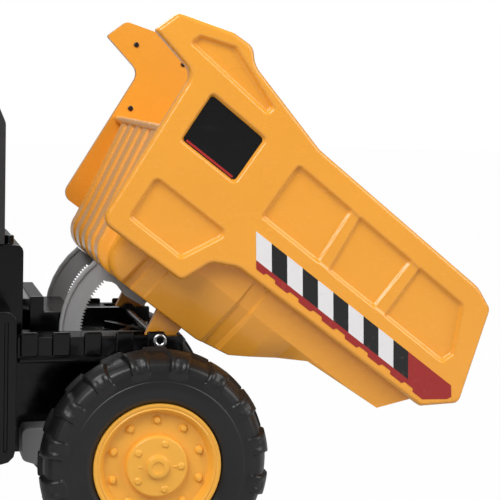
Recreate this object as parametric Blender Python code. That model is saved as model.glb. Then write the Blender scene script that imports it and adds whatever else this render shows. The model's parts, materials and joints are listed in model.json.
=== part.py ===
"""Ride-on tipper truck: chassis, seat, cab front, four wheels, steering and a geared tipping dump bed.

Metres, +Z up, front at -X, the truck's right at +Y. The origin is the middle of the whole
bounding box on the ground. The bed is drawn lying flat in its own plane (u to the rear, v up)
about its hinge, and an empty on the hinge holds it at the raised angle.
"""

import math

import bmesh
import bpy
from mathutils import Matrix, Vector

# driving dimensions
ORIGIN_X = 0.1767                     # rear axle to the middle of the whole length
TYRE_R = 0.165
TYRE_IN, TYRE_OUT = 0.184, 0.268      # distances of the tyre's walls from the middle plane
RIM_R = 0.091
CAP_PROFILE = ((0.0445, 0.2473), (0.0445, 0.2570), (0.0420, 0.2590), (0.0164, 0.2600), (0.0160, 0.2655))
WHEELBASE = 0.600
AXLE_R = 0.006
AXLE_HALF = 0.2465
GAP = 0.0003
SLIP = 0.0006

HINGE_X, HINGE_Z = 0.0137, 0.3319     # tipping axis, from the rear axle and the ground
TILT_DEG = 37.0
ROD_R = 0.005
PANEL_Y = (0.232, 0.250)
SKIN_Y = (0.2285, 0.2317)
CORNER_STEPS = 3

RAIL_Y = (0.1205, 0.178)
RAIL_Z = (0.302, 0.338)
RAIL_X = (-0.190, 0.048)
POCKET_PITCH = 0.0455

MODULE = 0.0015
ARC_TEETH = 140
PINION_TEETH = 20
PRESSURE = math.radians(20.0)
ARC_Y = 0.100
ARC_THICK = 0.007
ARC_RIM_R = 0.137
ARC_RIM_HALF = 0.006
RIM_STEPS = 9
PINION_DEG = 205.0                    # where the pinion meets the arcs, seen from the hinge
ARC_FIRST_DEG, ARC_LAST_DEG = 166.0, 246.0

STEER_TOP = Vector((-0.470, 0.0, 0.560))
STEER_FOOT = Vector((-0.575, 0.0, 0.165))
STEER_ROD_R = 0.006
SWITCH_AT = (-0.505, -0.078, 0.5105)
SWITCH_TILT = math.radians(56.3)      # the panel's slope
KINGPIN_Y = 0.150
STEER_ARM = 0.050

TURN_SEGMENTS = 28
SMALL_SEGMENTS = 12

YELLOW = ("bed_yellow", (0.93, 0.42, 0.045), 0.32, 0.0)
BLACK = ("gloss_black", (0.012, 0.012, 0.013), 0.28, 0.0)
RUBBER = ("tyre_black", (0.020, 0.020, 0.021), 0.55, 0.0)
GREY = ("gear_grey", (0.42, 0.42, 0.43), 0.45, 0.0)
STEEL = ("steel", (0.60, 0.60, 0.61), 0.30, 1.0)
CLEAR = ("lamp_clear", (0.85, 0.88, 0.90), 0.08, 0.0)
RED = ("button_red", (0.45, 0.02, 0.02), 0.35, 0.0)
BATTERY = ("battery_grey", (0.06, 0.07, 0.09), 0.50, 0.0)


# ---------------------------------------------------------------- helpers

def clear_scene():
    for item in list(bpy.data.objects):
        bpy.data.objects.remove(item, do_unlink=True)


def material(spec):
    name, colour, roughness, metallic = spec
    found = bpy.data.materials.get(name)
    if found:
        return found
    made = bpy.data.materials.new(name)
    made.use_nodes = True
    shader = made.node_tree.nodes["Principled BSDF"]
    shader.inputs["Base Color"].default_value = (*colour, 1.0)
    shader.inputs["Roughness"].default_value = roughness
    shader.inputs["Metallic"].default_value = metallic
    return made


def add_object(name, mesh, spec=None, parent=None):
    thing = bpy.data.objects.new(name, mesh)
    bpy.context.scene.collection.objects.link(thing)
    if spec:
        thing.data.materials.append(material(spec))
    thing.parent = parent
    return thing


def empty(name, place, rotation=(0.0, 0.0, 0.0), parent=None):
    holder = bpy.data.objects.new(name, None)
    bpy.context.scene.collection.objects.link(holder)
    holder.location = place
    holder.rotation_euler = rotation
    holder.parent = parent
    return holder


def mesh_from(points, faces):
    mesh = bpy.data.meshes.new("shape")
    mesh.from_pydata([tuple(p) for p in points], [], faces)
    shape = bmesh.new()
    shape.from_mesh(mesh)
    bmesh.ops.recalc_face_normals(shape, faces=shape.faces)
    shape.to_mesh(mesh)
    shape.free()
    return mesh


def moved(mesh, matrix):
    mesh.transform(matrix)
    if matrix.determinant() < 0:
        mesh.flip_normals()
    return mesh


def box(low, high):
    corners = [(x, y, z) for x in (low[0], high[0]) for y in (low[1], high[1]) for z in (low[2], high[2])]
    faces = [(0, 1, 3, 2), (4, 6, 7, 5), (0, 4, 5, 1), (2, 3, 7, 6), (0, 2, 6, 4), (1, 5, 7, 3)]
    return mesh_from(corners, faces)


def prism(outline, low, high, axis="Y"):
    """An outline of (a, b) points carried from low to high along an axis."""
    place = {
        "Y": lambda a, b, c: (a, c, b),
        "X": lambda a, b, c: (c, a, b),
        "Z": lambda a, b, c: (a, b, c),
    }[axis]
    count = len(outline)
    points = [place(a, b, low) for a, b in outline] + [place(a, b, high) for a, b in outline]
    faces = [tuple(range(count)), tuple(range(count, 2 * count))]
    for i in range(count):
        j = (i + 1) % count
        faces.append((i, j, count + j, count + i))
    return mesh_from(points, faces)


def loft(loops):
    """A closed skin over loops of equal length, with both ends capped."""
    count = len(loops[0])
    faces = [tuple(range(count)), tuple(range((len(loops) - 1) * count, len(loops) * count))]
    for i in range(len(loops) - 1):
        for j in range(count):
            k = (j + 1) % count
            faces.append((i * count + j, i * count + k, (i + 1) * count + k, (i + 1) * count + j))
    return mesh_from([point for loop in loops for point in loop], faces)


def turned(profile, segments=TURN_SEGMENTS):
    """A closed (radius, height) profile turned round the Y axis; height runs along Y."""
    count = len(profile)
    points = []
    faces = []
    for k in range(segments):
        angle = 2 * math.pi * k / segments
        for radius, height in profile:
            points.append((radius * math.cos(angle), height, radius * math.sin(angle)))
    for k in range(segments):
        nxt = (k + 1) % segments
        for i in range(count):
            j = (i + 1) % count
            faces.append((k * count + i, k * count + j, nxt * count + j, nxt * count + i))
    return mesh_from(points, faces)


def circle(cx, cy, radius, segments=SMALL_SEGMENTS):
    step = 2 * math.pi / segments
    return [(cx + radius * math.cos(k * step), cy + radius * math.sin(k * step)) for k in range(segments)]


def cylinder(centre, radius, low, high, axis="Y", segments=SMALL_SEGMENTS):
    return prism(circle(centre[0], centre[1], radius, segments), low, high, axis)


def rounded(outline, radii, steps=CORNER_STEPS):
    """The outline with each corner replaced by an arc of its own radius."""
    done = []
    count = len(outline)
    for i, corner in enumerate(outline):
        radius = radii[i] if isinstance(radii, (list, tuple)) else radii
        here = Vector(corner)
        before = (Vector(outline[i - 1]) - here).normalized()
        after = (Vector(outline[(i + 1) % count]) - here).normalized()
        if radius <= 0:
            done.append(tuple(here))
            continue
        half = before.angle(after) / 2
        middle = here + (before + after).normalized() * (radius / math.sin(half))
        start = here + before * (radius / math.tan(half)) - middle
        sweep = math.pi - 2 * half
        turn = 1 if before.x * after.y - before.y * after.x < 0 else -1
        for k in range(steps + 1):
            angle = turn * sweep * k / steps
            spun = Vector((start.x * math.cos(angle) - start.y * math.sin(angle),
                           start.x * math.sin(angle) + start.y * math.cos(angle)))
            done.append(tuple(middle + spun))
    return done


def modifier_boolean(thing, cutter, operation):
    cut = thing.modifiers.new(operation.lower(), "BOOLEAN")
    cut.operation = operation
    cut.solver = "EXACT"
    cut.object = cutter


def combine(thing, meshes, operation):
    """Union or cut with each mesh in turn, the helpers hidden from the build."""
    for mesh in meshes:
        helper = add_object(thing.name + "_" + operation.lower(), mesh)
        helper.parent = thing.parent
        helper.hide_render = True
        helper.display_type = "WIRE"
        modifier_boolean(thing, helper, operation)


def body(name, spec, parts, cuts=(), parent=None, smooth=False):
    """A sub-part: its shapes united into one body, then cut."""
    thing = add_object(name, parts[0], spec, parent)
    combine(thing, parts[1:], "UNION")
    combine(thing, cuts, "DIFFERENCE")
    if smooth:
        parts[0].shade_smooth()
        parts[0].set_sharp_from_angle(angle=math.radians(35))
    return thing


def mirrored(mesh):
    """The same shape on the other side of the middle plane."""
    return moved(mesh.copy(), Matrix.Scale(-1, 4, (0, 1, 0)))


def pair(name, spec, make_parts, make_cuts=None, parent=None, smooth=False):
    """Left (-Y) and right (+Y) copies of one sub-part; the shapes are drawn on the +Y side."""
    for side in ("right", "left"):
        parts = make_parts()
        cuts = make_cuts() if make_cuts else []
        if side == "left":
            parts = [mirrored(mesh) for mesh in parts]
            cuts = [mirrored(mesh) for mesh in cuts]
        body(name + "_" + side, spec, parts, cuts, parent, smooth)


# ---------------------------------------------------------------- dump bed

BED_OUTLINE = (
    (-0.288, 0.338), (-0.277, 0.377), (-0.200, 0.404), (-0.164, 0.406), (-0.150, 0.388), (0.0, 0.353),
    (0.316, 0.344), (0.351, 0.330), (0.400, 0.193), (0.354, 0.154), (0.010, 0.150), (-0.026, 0.132),
    (-0.044, 0.086), (-0.185, 0.084), (-0.209, 0.324),
)
BED_CORNER_R = (0.004, 0.010, 0.012, 0.020, 0.040, 0.060, 0.050, 0.012, 0.012, 0.010, 0.040, 0.020,
                0.010, 0.018, 0.020)
CHUTE_EDGE = (0.222, 0.111)            # foot of the chamfer band: distance from the middle, height
FLOOR_HALF = 0.185
FLOOR_LINE = ((-0.100, 0.033), (0.040, 0.033), (0.092, 0.043), (0.185, 0.106), (0.312, 0.114))
WALL_T = 0.004
RIB_PITCH = 0.072
RIB_HALF = 0.021
RIB_DEPTH = 0.018
WALL_U = -0.140


def bed_side_panels(bed):
    """Outer panels with their moulded recesses, and the flat inner skins behind them."""
    outline = rounded(BED_OUTLINE, BED_CORNER_R)
    depth = 0.006                      # of the moulded recesses
    recesses = (
        rounded([(-0.238, 0.352), (-0.232, 0.372), (-0.186, 0.391), (-0.094, 0.362), (-0.096, 0.345)],
                0.006, 1),
        rounded([(-0.173, 0.238), (-0.173, 0.320), (-0.070, 0.320), (-0.070, 0.238)], 0.010, 1),
        rounded([(-0.160, 0.108), (-0.160, 0.181), (-0.112, 0.181), (-0.028, 0.180), (-0.068, 0.108)],
                0.010, 1),
        rounded([(-0.010, 0.229), (-0.010, 0.317), (0.086, 0.317), (0.098, 0.229)], 0.008, 1),
        rounded([(0.120, 0.230), (0.106, 0.317), (0.207, 0.314), (0.203, 0.232)], 0.008, 1),
        rounded([(0.228, 0.230), (0.228, 0.313), (0.309, 0.307), (0.344, 0.244), (0.338, 0.227)], 0.008, 1),
    )
    hollow = drawn_in(BED_OUTLINE, 0.009)
    hollow_top = PANEL_Y[1] - depth - WALL_T

    def cuts():
        made = [prism(shape, PANEL_Y[1] - depth, PANEL_Y[1] + 0.01) for shape in recesses]
        made.append(prism(hollow, PANEL_Y[0] - 0.01, hollow_top))
        return made

    pair("bed_side", YELLOW, lambda: [prism(outline, *PANEL_Y)], cuts, bed)
    pair("bed_inner_skin", YELLOW, lambda: [prism(outline, *SKIN_Y)], None, bed)


def drawn_in(outline, inset):
    """A clockwise outline moved towards its inside, its corners kept sharp."""
    count = len(outline)
    inner = []
    for i, corner in enumerate(outline):
        before = (Vector(corner) - Vector(outline[i - 1])).normalized()
        after = (Vector(outline[(i + 1) % count]) - Vector(corner)).normalized()
        along = (before + after).normalized()
        reach = inset / along.dot(before)
        inner.append((corner[0] + along.y * reach, corner[1] - along.x * reach))
    return inner


def bed_hopper(bed):
    """Deep hopper in front, a ramp, and the shallow chute behind: one open channel of sections along u."""
    top = (SKIN_Y[0] - GAP, 0.158)
    points = []
    last = len(FLOOR_LINE) - 1
    for i, (u, floor) in enumerate(FLOOR_LINE):
        lean = 0.040 if i == last else 0.0
        chamfer = 0.004 if i == last else 0.0
        half = FLOOR_HALF + (CHUTE_EDGE[0] - FLOOR_HALF) * max(0.0, (floor - 0.033) / 0.081) ** 1.5
        edge_y, edge_v = CHUTE_EDGE
        edge_v = max(edge_v, floor + 0.0006)
        outer = [(u + lean, top[0], top[1]), (u + chamfer, edge_y, edge_v), (u, half, floor)]
        inner = [(u, half - 0.6 * WALL_T, floor + WALL_T),
                 (u + chamfer, edge_y - WALL_T, edge_v + 0.5 * WALL_T),
                 (u + lean, top[0] - WALL_T, top[1])]
        loop = [(p[0], -p[1], p[2]) for p in outer]
        loop += outer[::-1]
        loop += [(p[0], p[1], p[2]) for p in inner[::-1]]
        loop += [(p[0], -p[1], p[2]) for p in inner]
        points.append(loop)
    body("bed_hopper", YELLOW, [loft(points)], (), bed)


def bed_front_wall(bed):
    """Corrugated front wall lofted across the bed: a lip, leaning ribs, and a foot that curls under."""
    foot_u = FLOOR_LINE[0][0] - GAP
    floor = FLOOR_LINE[0][1]
    half = SKIN_Y[0] - GAP
    lip_u, lip_low, lip_high = -0.196, 0.236, 0.246
    side_floor = 0.100
    slope = 0.003
    lean = 0.032                       # of the wall's top, towards the front

    def section(front, low, bend):
        sweep = [math.radians(30.0 * k) for k in range(4)]
        inner_bend = bend - WALL_T
        inner_centre = WALL_U + bend
        loop = [(WALL_U + WALL_T - lean, lip_high), (lip_u, lip_high), (lip_u, lip_low),
                (front - lean, lip_low)]
        loop += [(front + bend * (1 - math.cos(a)), low + bend * (1 - math.sin(a))) for a in sweep]
        loop += [(foot_u, low), (foot_u, low + WALL_T)]
        loop += [(inner_centre - inner_bend * math.cos(a), low + bend - inner_bend * math.sin(a))
                 for a in reversed(sweep)]
        return loop

    bend = 0.0385
    stations = [(-half, section(WALL_U, side_floor, bend)), (-FLOOR_HALF, section(WALL_U, floor, bend))]
    for k in range(-2, 3):
        for offset, depth in ((-RIB_HALF - slope, 0.0), (-RIB_HALF, RIB_DEPTH),
                              (RIB_HALF, RIB_DEPTH), (RIB_HALF + slope, 0.0)):
            stations.append((k * RIB_PITCH + offset, section(WALL_U - depth, floor, bend)))
    stations += [(FLOOR_HALF, section(WALL_U, floor, bend)), (half, section(WALL_U, side_floor, bend))]
    body("bed_front_wall", YELLOW, [loft([[(u, y, v) for u, v in loop] for y, loop in stations])], (), bed)


def bed_hinge_legs(bed):
    """Brackets from the hopper's floor down to the tipping rod."""
    boss = 0.0175
    foot = [(boss * math.cos(math.radians(a)), boss * math.sin(math.radians(a))) for a in range(200, 361, 32)]
    outline = [(0.0205, 0.0327), (-0.025, 0.0327)] + foot
    pair("hinge_leg", YELLOW, lambda: [prism(outline, 0.141, 0.155)],
         lambda: [cylinder((0, 0), ROD_R + GAP, 0.13, 0.17)], bed, True)


def involute(base, radius):
    """Angle by which an involute has turned at a radius."""
    ratio = math.sqrt(max(0.0, (radius / base) ** 2 - 1))
    return ratio - math.atan(ratio)


def tooth_half_angle(teeth, radius, thickness_share):
    """Half the angle that a tooth (or an internal space) covers at a radius."""
    pitch = MODULE * teeth / 2
    base = pitch * math.cos(PRESSURE)
    at_pitch = math.pi / (2 * teeth) * thickness_share
    return at_pitch + involute(base, pitch) - involute(base, max(radius, base))


def tip_arcs(bed):
    """Internally toothed arcs that hang from the hopper and swing through the deck's slots."""
    pitch = MODULE * ARC_TEETH / 2
    tip, root = pitch - MODULE, pitch + 1.25 * MODULE
    step = 360.0 / ARC_TEETH
    first = math.ceil((ARC_FIRST_DEG + 2) / step)
    final = math.floor((ARC_LAST_DEG - 1) / step)
    phase = PINION_DEG + TILT_DEG

    teeth_edge = []
    for k in range(first, final + 1):
        space = math.radians(k * step + (phase % step))
        for radius, side in ((tip, -1), (root, -1), (root, 1), (tip, 1)):
            half = tooth_half_angle(ARC_TEETH, radius, 1.12)
            turn = space + side * half
            teeth_edge.append((radius * math.cos(turn), radius * math.sin(turn)))
    outer = []
    for k in range(RIM_STEPS + 1):
        angle = math.radians(ARC_LAST_DEG - (ARC_LAST_DEG - ARC_FIRST_DEG) * k / RIM_STEPS)
        outer.append(((ARC_RIM_R - 0.003) * math.cos(angle), (ARC_RIM_R - 0.003) * math.sin(angle)))
    top = 0.0327
    plate = [(-0.128, top), (-0.034, top), (-0.034, 0.024), (-0.066, 0.020), (-0.090, 0.0262)]
    outline = teeth_edge + outer + plate
    rim = []
    for k in range(RIM_STEPS + 1):
        angle = math.radians(ARC_LAST_DEG - (ARC_LAST_DEG - ARC_FIRST_DEG) * k / RIM_STEPS)
        rim.append((ARC_RIM_R * math.cos(angle), ARC_RIM_R * math.sin(angle)))
    for k in range(RIM_STEPS, -1, -1):
        angle = math.radians(ARC_LAST_DEG - (ARC_LAST_DEG - ARC_FIRST_DEG) * k / RIM_STEPS)
        rim.append(((ARC_RIM_R - 0.004) * math.cos(angle), (ARC_RIM_R - 0.004) * math.sin(angle)))
    pair("tip_arc", GREY,
         lambda: [prism(outline, ARC_Y - ARC_THICK / 2, ARC_Y + ARC_THICK / 2),
                  prism(rim, ARC_Y - ARC_RIM_HALF, ARC_Y + ARC_RIM_HALF)],
         None, bed)


# ---------------------------------------------------------------- tipping drive

def pinion_outline():
    teeth = PINION_TEETH
    pitch = MODULE * teeth / 2
    tip, root = pitch + 0.9 * MODULE, pitch - 1.25 * MODULE
    points = []
    for k in range(teeth):
        middle = 2 * math.pi * k / teeth
        for radius, side in ((root, -1), (tip, -1), (tip, 1), (root, 1)):
            half = tooth_half_angle(teeth, radius, 0.88)
            points.append((radius * math.cos(middle + side * half), radius * math.sin(middle + side * half)))
    return points


def tip_drive(holder):
    """Cross shaft with a pinion inside each arc, one tooth at the mesh; the empty is on its axis."""
    shaft_half = 0.118
    body("tip_shaft", STEEL, [cylinder((0, 0), 0.004, -shaft_half, shaft_half)], (), holder, True)
    outline = pinion_outline()
    wheels = []
    for side in (-1, 1):
        middle = side * ARC_Y
        low, high = middle - 0.0055, middle + 0.0055
        ring = prism(outline, low, high)
        wheels.append((ring, cylinder((0, 0), 0.004 + GAP, low - 0.01, high + 0.01)))
    for name, (ring, bore) in zip(("tip_pinion_left", "tip_pinion_right"), wheels):
        body(name, GREY, [ring], [bore], holder)


def tip_motor_parts():
    x, z = tip_shaft_place()
    deck_low = DECK_Z[0] - GAP
    body("tip_gearbox", GREY, [box((x - 0.052, -0.060, 0.215), (x + 0.030, 0.060, deck_low))],
         [cylinder((x, z), 0.004 + SLIP, -0.08, 0.08)])
    body("tip_motor", STEEL, [cylinder((x - 0.0725, 0.245), 0.0195, -0.045, 0.045, segments=20)],
         (), None, True)


def tip_shaft_place():
    reach = MODULE * (ARC_TEETH - PINION_TEETH) / 2
    angle = math.radians(PINION_DEG)
    return HINGE_X + reach * math.cos(angle), HINGE_Z + reach * math.sin(angle)


# ---------------------------------------------------------------- chassis

DECK_Z = (0.306, 0.314)
FLOOR_Z = (0.160, 0.178)
PLATE_Y = (0.108, 0.120)


def chassis_frame():
    """The moulded frame: rear side plates, floor, cross walls, and the beam that carries the cab front."""
    deck_low = DECK_Z[0] - GAP
    plates = []
    for side in (-1, 1):
        low, high = sorted((side * PLATE_Y[0], side * PLATE_Y[1]))
        plates.append(box((-0.178, low, 0.162), (0.050, high, deck_low)))
        plates.append(box((-0.030, low, 0.135), (0.030, high, 0.200)))
        plates.append(box((-0.2605, low, 0.170), (-0.1665, high, 0.338)))
    parts = [
        box((-0.405, -0.120, FLOOR_Z[0]), (-0.040, 0.120, FLOOR_Z[1])),
        box((-0.178, -0.119, 0.170), (-0.166, 0.119, deck_low)),
        box((0.038, -0.119, 0.200), (0.050, 0.119, deck_low)),
        box((-0.2600, -0.119, 0.170), (-0.2540, 0.119, 0.337)),
        box((-0.800, -0.100, 0.1905), (-0.390, 0.100, 0.215)),
        box((-0.405, -0.100, 0.165), (-0.385, 0.100, 0.214)),
        box((-0.527, -0.100, 0.205), (-0.517, 0.100, 0.3645)),
        box((-0.800, -0.100, 0.205), (-0.780, 0.100, 0.3445)),
    ]
    shaft_x, shaft_z = tip_shaft_place()
    cuts = [
        cylinder((0.0, TYRE_R), AXLE_R + GAP, -0.2, 0.2),
        cylinder((shaft_x, shaft_z), 0.004 + SLIP, -0.2, 0.2),
        steering_bore(0.0105),
    ]
    body("chassis_frame", BLACK, parts + plates, cuts)


def deck_plate():
    """Deck between the rails: a stepped cross box, a slot for each toothed arc and an oval hand hole."""
    parts = [
        box((-0.166, -0.120, DECK_Z[0]), (0.050, 0.120, DECK_Z[1])),
        box((-0.1655, -0.086, DECK_Z[1] - 0.001), (-0.100, 0.086, 0.3610)),
        box((-0.1655, -0.086, DECK_Z[1] - 0.001), (-0.1445, 0.086, 0.3840)),
    ]
    brace = 0.006
    for start, end in (((-0.030, -0.060), (0.030, 0.060)), ((-0.030, 0.060), (0.030, -0.060))):
        run = Vector(end) - Vector(start)
        side = Vector((-run.y, run.x)).normalized() * brace
        outline = [tuple(Vector(p) + s * side) for p, s in ((start, -1), (end, -1), (end, 1), (start, 1))]
        parts.append(prism(outline, DECK_Z[1] - 0.001, DECK_Z[1] + 0.012, "Z"))
    cuts = []
    for side in (-1, 1):
        low, high = sorted((side * 0.0900, side * 0.1095))
        cuts.append(box((-0.130, low, 0.29), (-0.046, high, 0.33)))
    hole = [(x * 1.7 - 0.066, y) for x, y in circle(0, 0, 0.011)]
    cuts.append(prism(hole, 0.29, 0.33, "Z"))
    body("deck_plate", BLACK, parts, cuts)


def side_rails():
    """Channel rails over the wheels' inner edge; their rear ends carry the tipping rod."""
    inner, outer = RAIL_Y
    low, high = RAIL_Z
    wall = 0.0135
    start, end = RAIL_X
    slot_start = -0.022

    def parts():
        boss = 0.0125
        made = [
            box((start, outer - wall, low), (end, outer, high)),
            box((start, inner, low), (end, inner + wall, high)),
            box((start, inner + 0.001, high - 0.008), (slot_start, outer - 0.001, high)),
            cylinder((HINGE_X, HINGE_Z), boss, outer - wall, outer),
            cylinder((HINGE_X, HINGE_Z), boss, inner, inner + wall),
        ]
        return made

    def cuts():
        made = [cylinder((HINGE_X, HINGE_Z), ROD_R + GAP, 0.1, 0.2)]
        for k in range(4):
            left = -0.161 + k * POCKET_PITCH
            made.append(box((left, outer - 0.003, 0.3105), (left + 0.0195, outer + 0.01, 0.3345)))
        return made

    pair("side_rail", BLACK, parts, cuts)


def hinge_rod():
    body("hinge_rod", STEEL, [cylinder((HINGE_X, HINGE_Z), ROD_R, -0.1795, 0.1795)], (), None, True)
    pair("hinge_nut", STEEL,
         lambda: [cylinder((HINGE_X, HINGE_Z), 0.010, RAIL_Y[1] + GAP, 0.1820, segments=24)],
         lambda: [cylinder((HINGE_X, HINGE_Z), ROD_R + GAP, 0.1, 0.2)], None, True)


def rear_drive():
    body("rear_axle", STEEL, [cylinder((0, TYRE_R), AXLE_R, -AXLE_HALF, AXLE_HALF)], (), None, True)

    def parts():
        hull = circle(0.0, TYRE_R, 0.042, 20)
        lobe = rounded([(-0.182, 0.158), (-0.182, 0.205), (-0.010, 0.205), (-0.010, 0.130), (-0.075, 0.124)],
                       0.009, 3)
        return [prism(lobe, 0.1205, 0.1700), prism(hull, 0.1205, 0.1700)]

    pair("drive_gearbox", GREY, parts, lambda: [cylinder((0, TYRE_R), AXLE_R + GAP, 0.1, 0.2)])


def seat_parts():
    """Seat base over the battery, the box behind it, the seat shell and its back rest."""
    floor = FLOOR_Z[1] + GAP
    body("battery", BATTERY, [box((-0.375, -0.075, floor), (-0.275, 0.075, floor + 0.095))])
    wall = 0.004
    body("seat_base", BLACK, [box((-0.3840, -0.130, 0.2155), (-0.2620, 0.130, 0.3850))],
         [box((-0.3840 + wall, -0.130 + wall, 0.20), (-0.2620 - wall, 0.130 - wall, 0.3850 - wall))])
    body("seat_box", BLACK,
         [prism(rounded([(-0.2605, 0.3385), (-0.2605, 0.4650), (-0.1790, 0.4650), (-0.1790, 0.3385)],
                        (0, 0, 0.010, 0)), -0.130, 0.130),
          cylinder((-0.1985, -0.112), 0.007, 0.4630, 0.4780, "Z")],
         [box((-0.2565, -0.126, 0.33), (-0.1830, 0.126, 0.461))])
    pan = rounded([(-0.430, 0.3853), (-0.430, 0.4150), (-0.400, 0.4250),
                   (-0.2620, 0.4130), (-0.2620, 0.3853)],
                  (0.010, 0.012, 0.02, 0.004, 0.002), 3)
    body("seat_pan", BLACK, [prism(pan, -0.140, 0.140)],
         [box((-0.424, -0.134, 0.38), (-0.268, 0.134, 0.407))])
    back = rounded([(-0.2480, 0.4653), (-0.2640, 0.640), (-0.2480, 0.6680), (-0.2180, 0.6680),
                    (-0.2060, 0.640),
                    (-0.2060, 0.4653)], (0.002, 0.02, 0.012, 0.012, 0.02, 0.002), 3)
    body("seat_back", BLACK, [prism(back, -0.130, 0.130)],
         [box((-0.2440, -0.124, 0.46), (-0.2110, 0.124, 0.655))])


def side_steps():
    """Fairings below the seat with a foot step cut into each and upright grooves at the rear edge."""
    outline = rounded([(-0.385, 0.172), (-0.385, 0.385), (-0.198, 0.385), (-0.198, 0.172)],
                      (0.02, 0.015, 0.015, 0.02), 3)

    def cuts():
        made = [box((-0.36, 0.215, 0.235), (-0.245, 0.30, 0.310)),
                box((-0.380, 0.10, 0.177), (-0.203, 0.211, 0.380))]
        for k in range(2):
            left = -0.2285 + k * 0.014
            made.append(box((left, 0.2465, 0.19), (left + 0.005, 0.30, 0.37)))
        return made

    pair("side_step", BLACK, lambda: [prism(outline, 0.1305, 0.2500)], cuts)


# ---------------------------------------------------------------- cab front

def steering_frame():
    """Axis direction and the matrix that stands local +Z along the steering column."""
    axis = (STEER_TOP - STEER_FOOT).normalized()
    tilt = math.atan2(axis.x, axis.z)
    return axis, tilt


def steering_bore(radius):
    axis, tilt = steering_frame()
    length = (STEER_TOP - STEER_FOOT).length
    rod = cylinder((0, 0), radius, -length * 1.2, length * 0.2, "Z", 12)
    return moved(rod, Matrix.Translation(STEER_TOP) @ Matrix.Rotation(tilt, 4, "Y"))


def hood():
    """Engine cover and the wide mudguard deck, hollow underneath, with a pod for each head lamp."""
    top = rounded([(-0.790, 0.345), (-0.790, 0.440), (-0.740, 0.495), (-0.5295, 0.505), (-0.5295, 0.345)],
                  (0, 0.02, 0.03, 0, 0), 3)
    hollow = [(-0.780, 0.33), (-0.780, 0.436), (-0.736, 0.485), (-0.5345, 0.495), (-0.5345, 0.33)]
    parts = [prism(top, -0.120, 0.120), box((-0.800, -0.262, 0.345), (-0.5295, 0.262, 0.357))]
    for side in (-1, 1):
        low, high = sorted((side * 0.130, side * 0.262))
        guard = rounded([(-0.535, 0.345), (-0.535, 0.357), (-0.440, 0.357), (-0.405, 0.310), (-0.405, 0.270),
                         (-0.412, 0.270), (-0.412, 0.306), (-0.444, 0.345)], 0)
        parts.append(prism(guard, low, high))
        parts.append(cylinder((side * 0.175, 0.396), 0.036, -0.800, -0.745, "X", 20))
        parts.append(box((-0.800, side * 0.175 - 0.030, 0.350), (-0.745, side * 0.175 + 0.030, 0.390)))
    cuts = [prism(hollow, -0.115, 0.115), steering_bore(0.0085)]
    body("hood", YELLOW, parts, cuts)
    pair("lamp_lens", CLEAR, lambda: [cylinder((0.175, 0.396), 0.030, -0.8045, -0.8003, "X", 20)],
         None, None, True)


def grille():
    frame = box((-0.815, -0.115, 0.2205), (-0.8003, 0.115, 0.3447))
    cuts = []
    for k in range(5):
        low = 0.231 + k * 0.0225
        cuts.append(box((-0.83, -0.100, low), (-0.808, 0.100, low + 0.012)))
    body("grille", BLACK, [frame], cuts)


def bumper():
    outline = rounded([(-0.815, -0.235), (-0.845, -0.195), (-0.845, 0.195), (-0.815, 0.235)],
                      (0.004, 0.02, 0.02, 0.004), 3)
    parts = [prism(outline, 0.120, 0.220, "Z"), box((-0.820, -0.090, 0.150), (-0.8003, 0.090, 0.219))]
    body("bumper", BLACK, parts)


def dashboard():
    """Instrument panel on the cover's rear edge, with the column's bore through it."""
    outline = [(-0.560, 0.5053), (-0.545, 0.540), (-0.525, 0.540), (-0.485, 0.480), (-0.485, 0.365),
               (-0.5287, 0.365), (-0.5287, 0.5053)]
    switch_well = moved(box((-0.0115, -0.0075, -0.0060), (0.0115, 0.0075, 0.020)),
                        Matrix.Translation(SWITCH_AT) @ Matrix.Rotation(SWITCH_TILT, 4, "Y"))
    body("dashboard", BLACK,
         [prism(rounded(outline, (0, 0.008, 0.008, 0.010, 0.004, 0, 0), 2), -0.120, 0.120)],
         [steering_bore(0.0085), box((-0.512, 0.073, 0.468), (-0.478, 0.083, 0.60)), switch_well])


def steering(holder):
    """Sloping rod with a plain foot, the wheel on top and the horn button in the wheel's hub."""
    length = (STEER_TOP - STEER_FOOT).length
    body("steering_rod", STEEL,
         [cylinder((0, 0), STEER_ROD_R, -length, 0.008, "Z", 12)], (), holder, True)
    ring = bpy.data.meshes.new("ring")
    shape = bmesh.new()
    rim_r, tube_r = 0.100, 0.010
    around, across = 24, 6
    loops = []
    for i in range(around):
        a = 2 * math.pi * i / around
        loops.append([shape.verts.new(((rim_r + tube_r * math.cos(b)) * math.cos(a),
                                       (rim_r + tube_r * math.cos(b)) * math.sin(a), 0.020 + tube_r * math.sin(b)))
                      for b in (2 * math.pi * j / across for j in range(across))])
    for i in range(around):
        for j in range(across):
            after = (i + 1) % around
            up = (j + 1) % across
            shape.faces.new((loops[i][j], loops[after][j], loops[after][up], loops[i][up]))
    bmesh.ops.recalc_face_normals(shape, faces=shape.faces)
    shape.to_mesh(ring)
    shape.free()
    parts = [ring, cylinder((0, 0), 0.032, -0.004, 0.020, "Z", 20)]
    for angle in (0, 120, 240):
        spoke = box((0.015, -0.012, 0.004), (0.098, 0.012, 0.018))
        parts.append(moved(spoke, Matrix.Rotation(math.radians(angle), 4, "Z")))
    cuts = [cylinder((0, 0), STEER_ROD_R + GAP, -0.02, 0.0085, "Z", 12),
            cylinder((0, 0), 0.0183, 0.011, 0.03, "Z", 20)]
    body("steering_wheel", BLACK, parts, cuts, holder, True)
    body("horn_button", RED, [cylinder((0, 0), 0.0175, 0.0150, 0.0240, "Z", 20)], (), holder, True)


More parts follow.
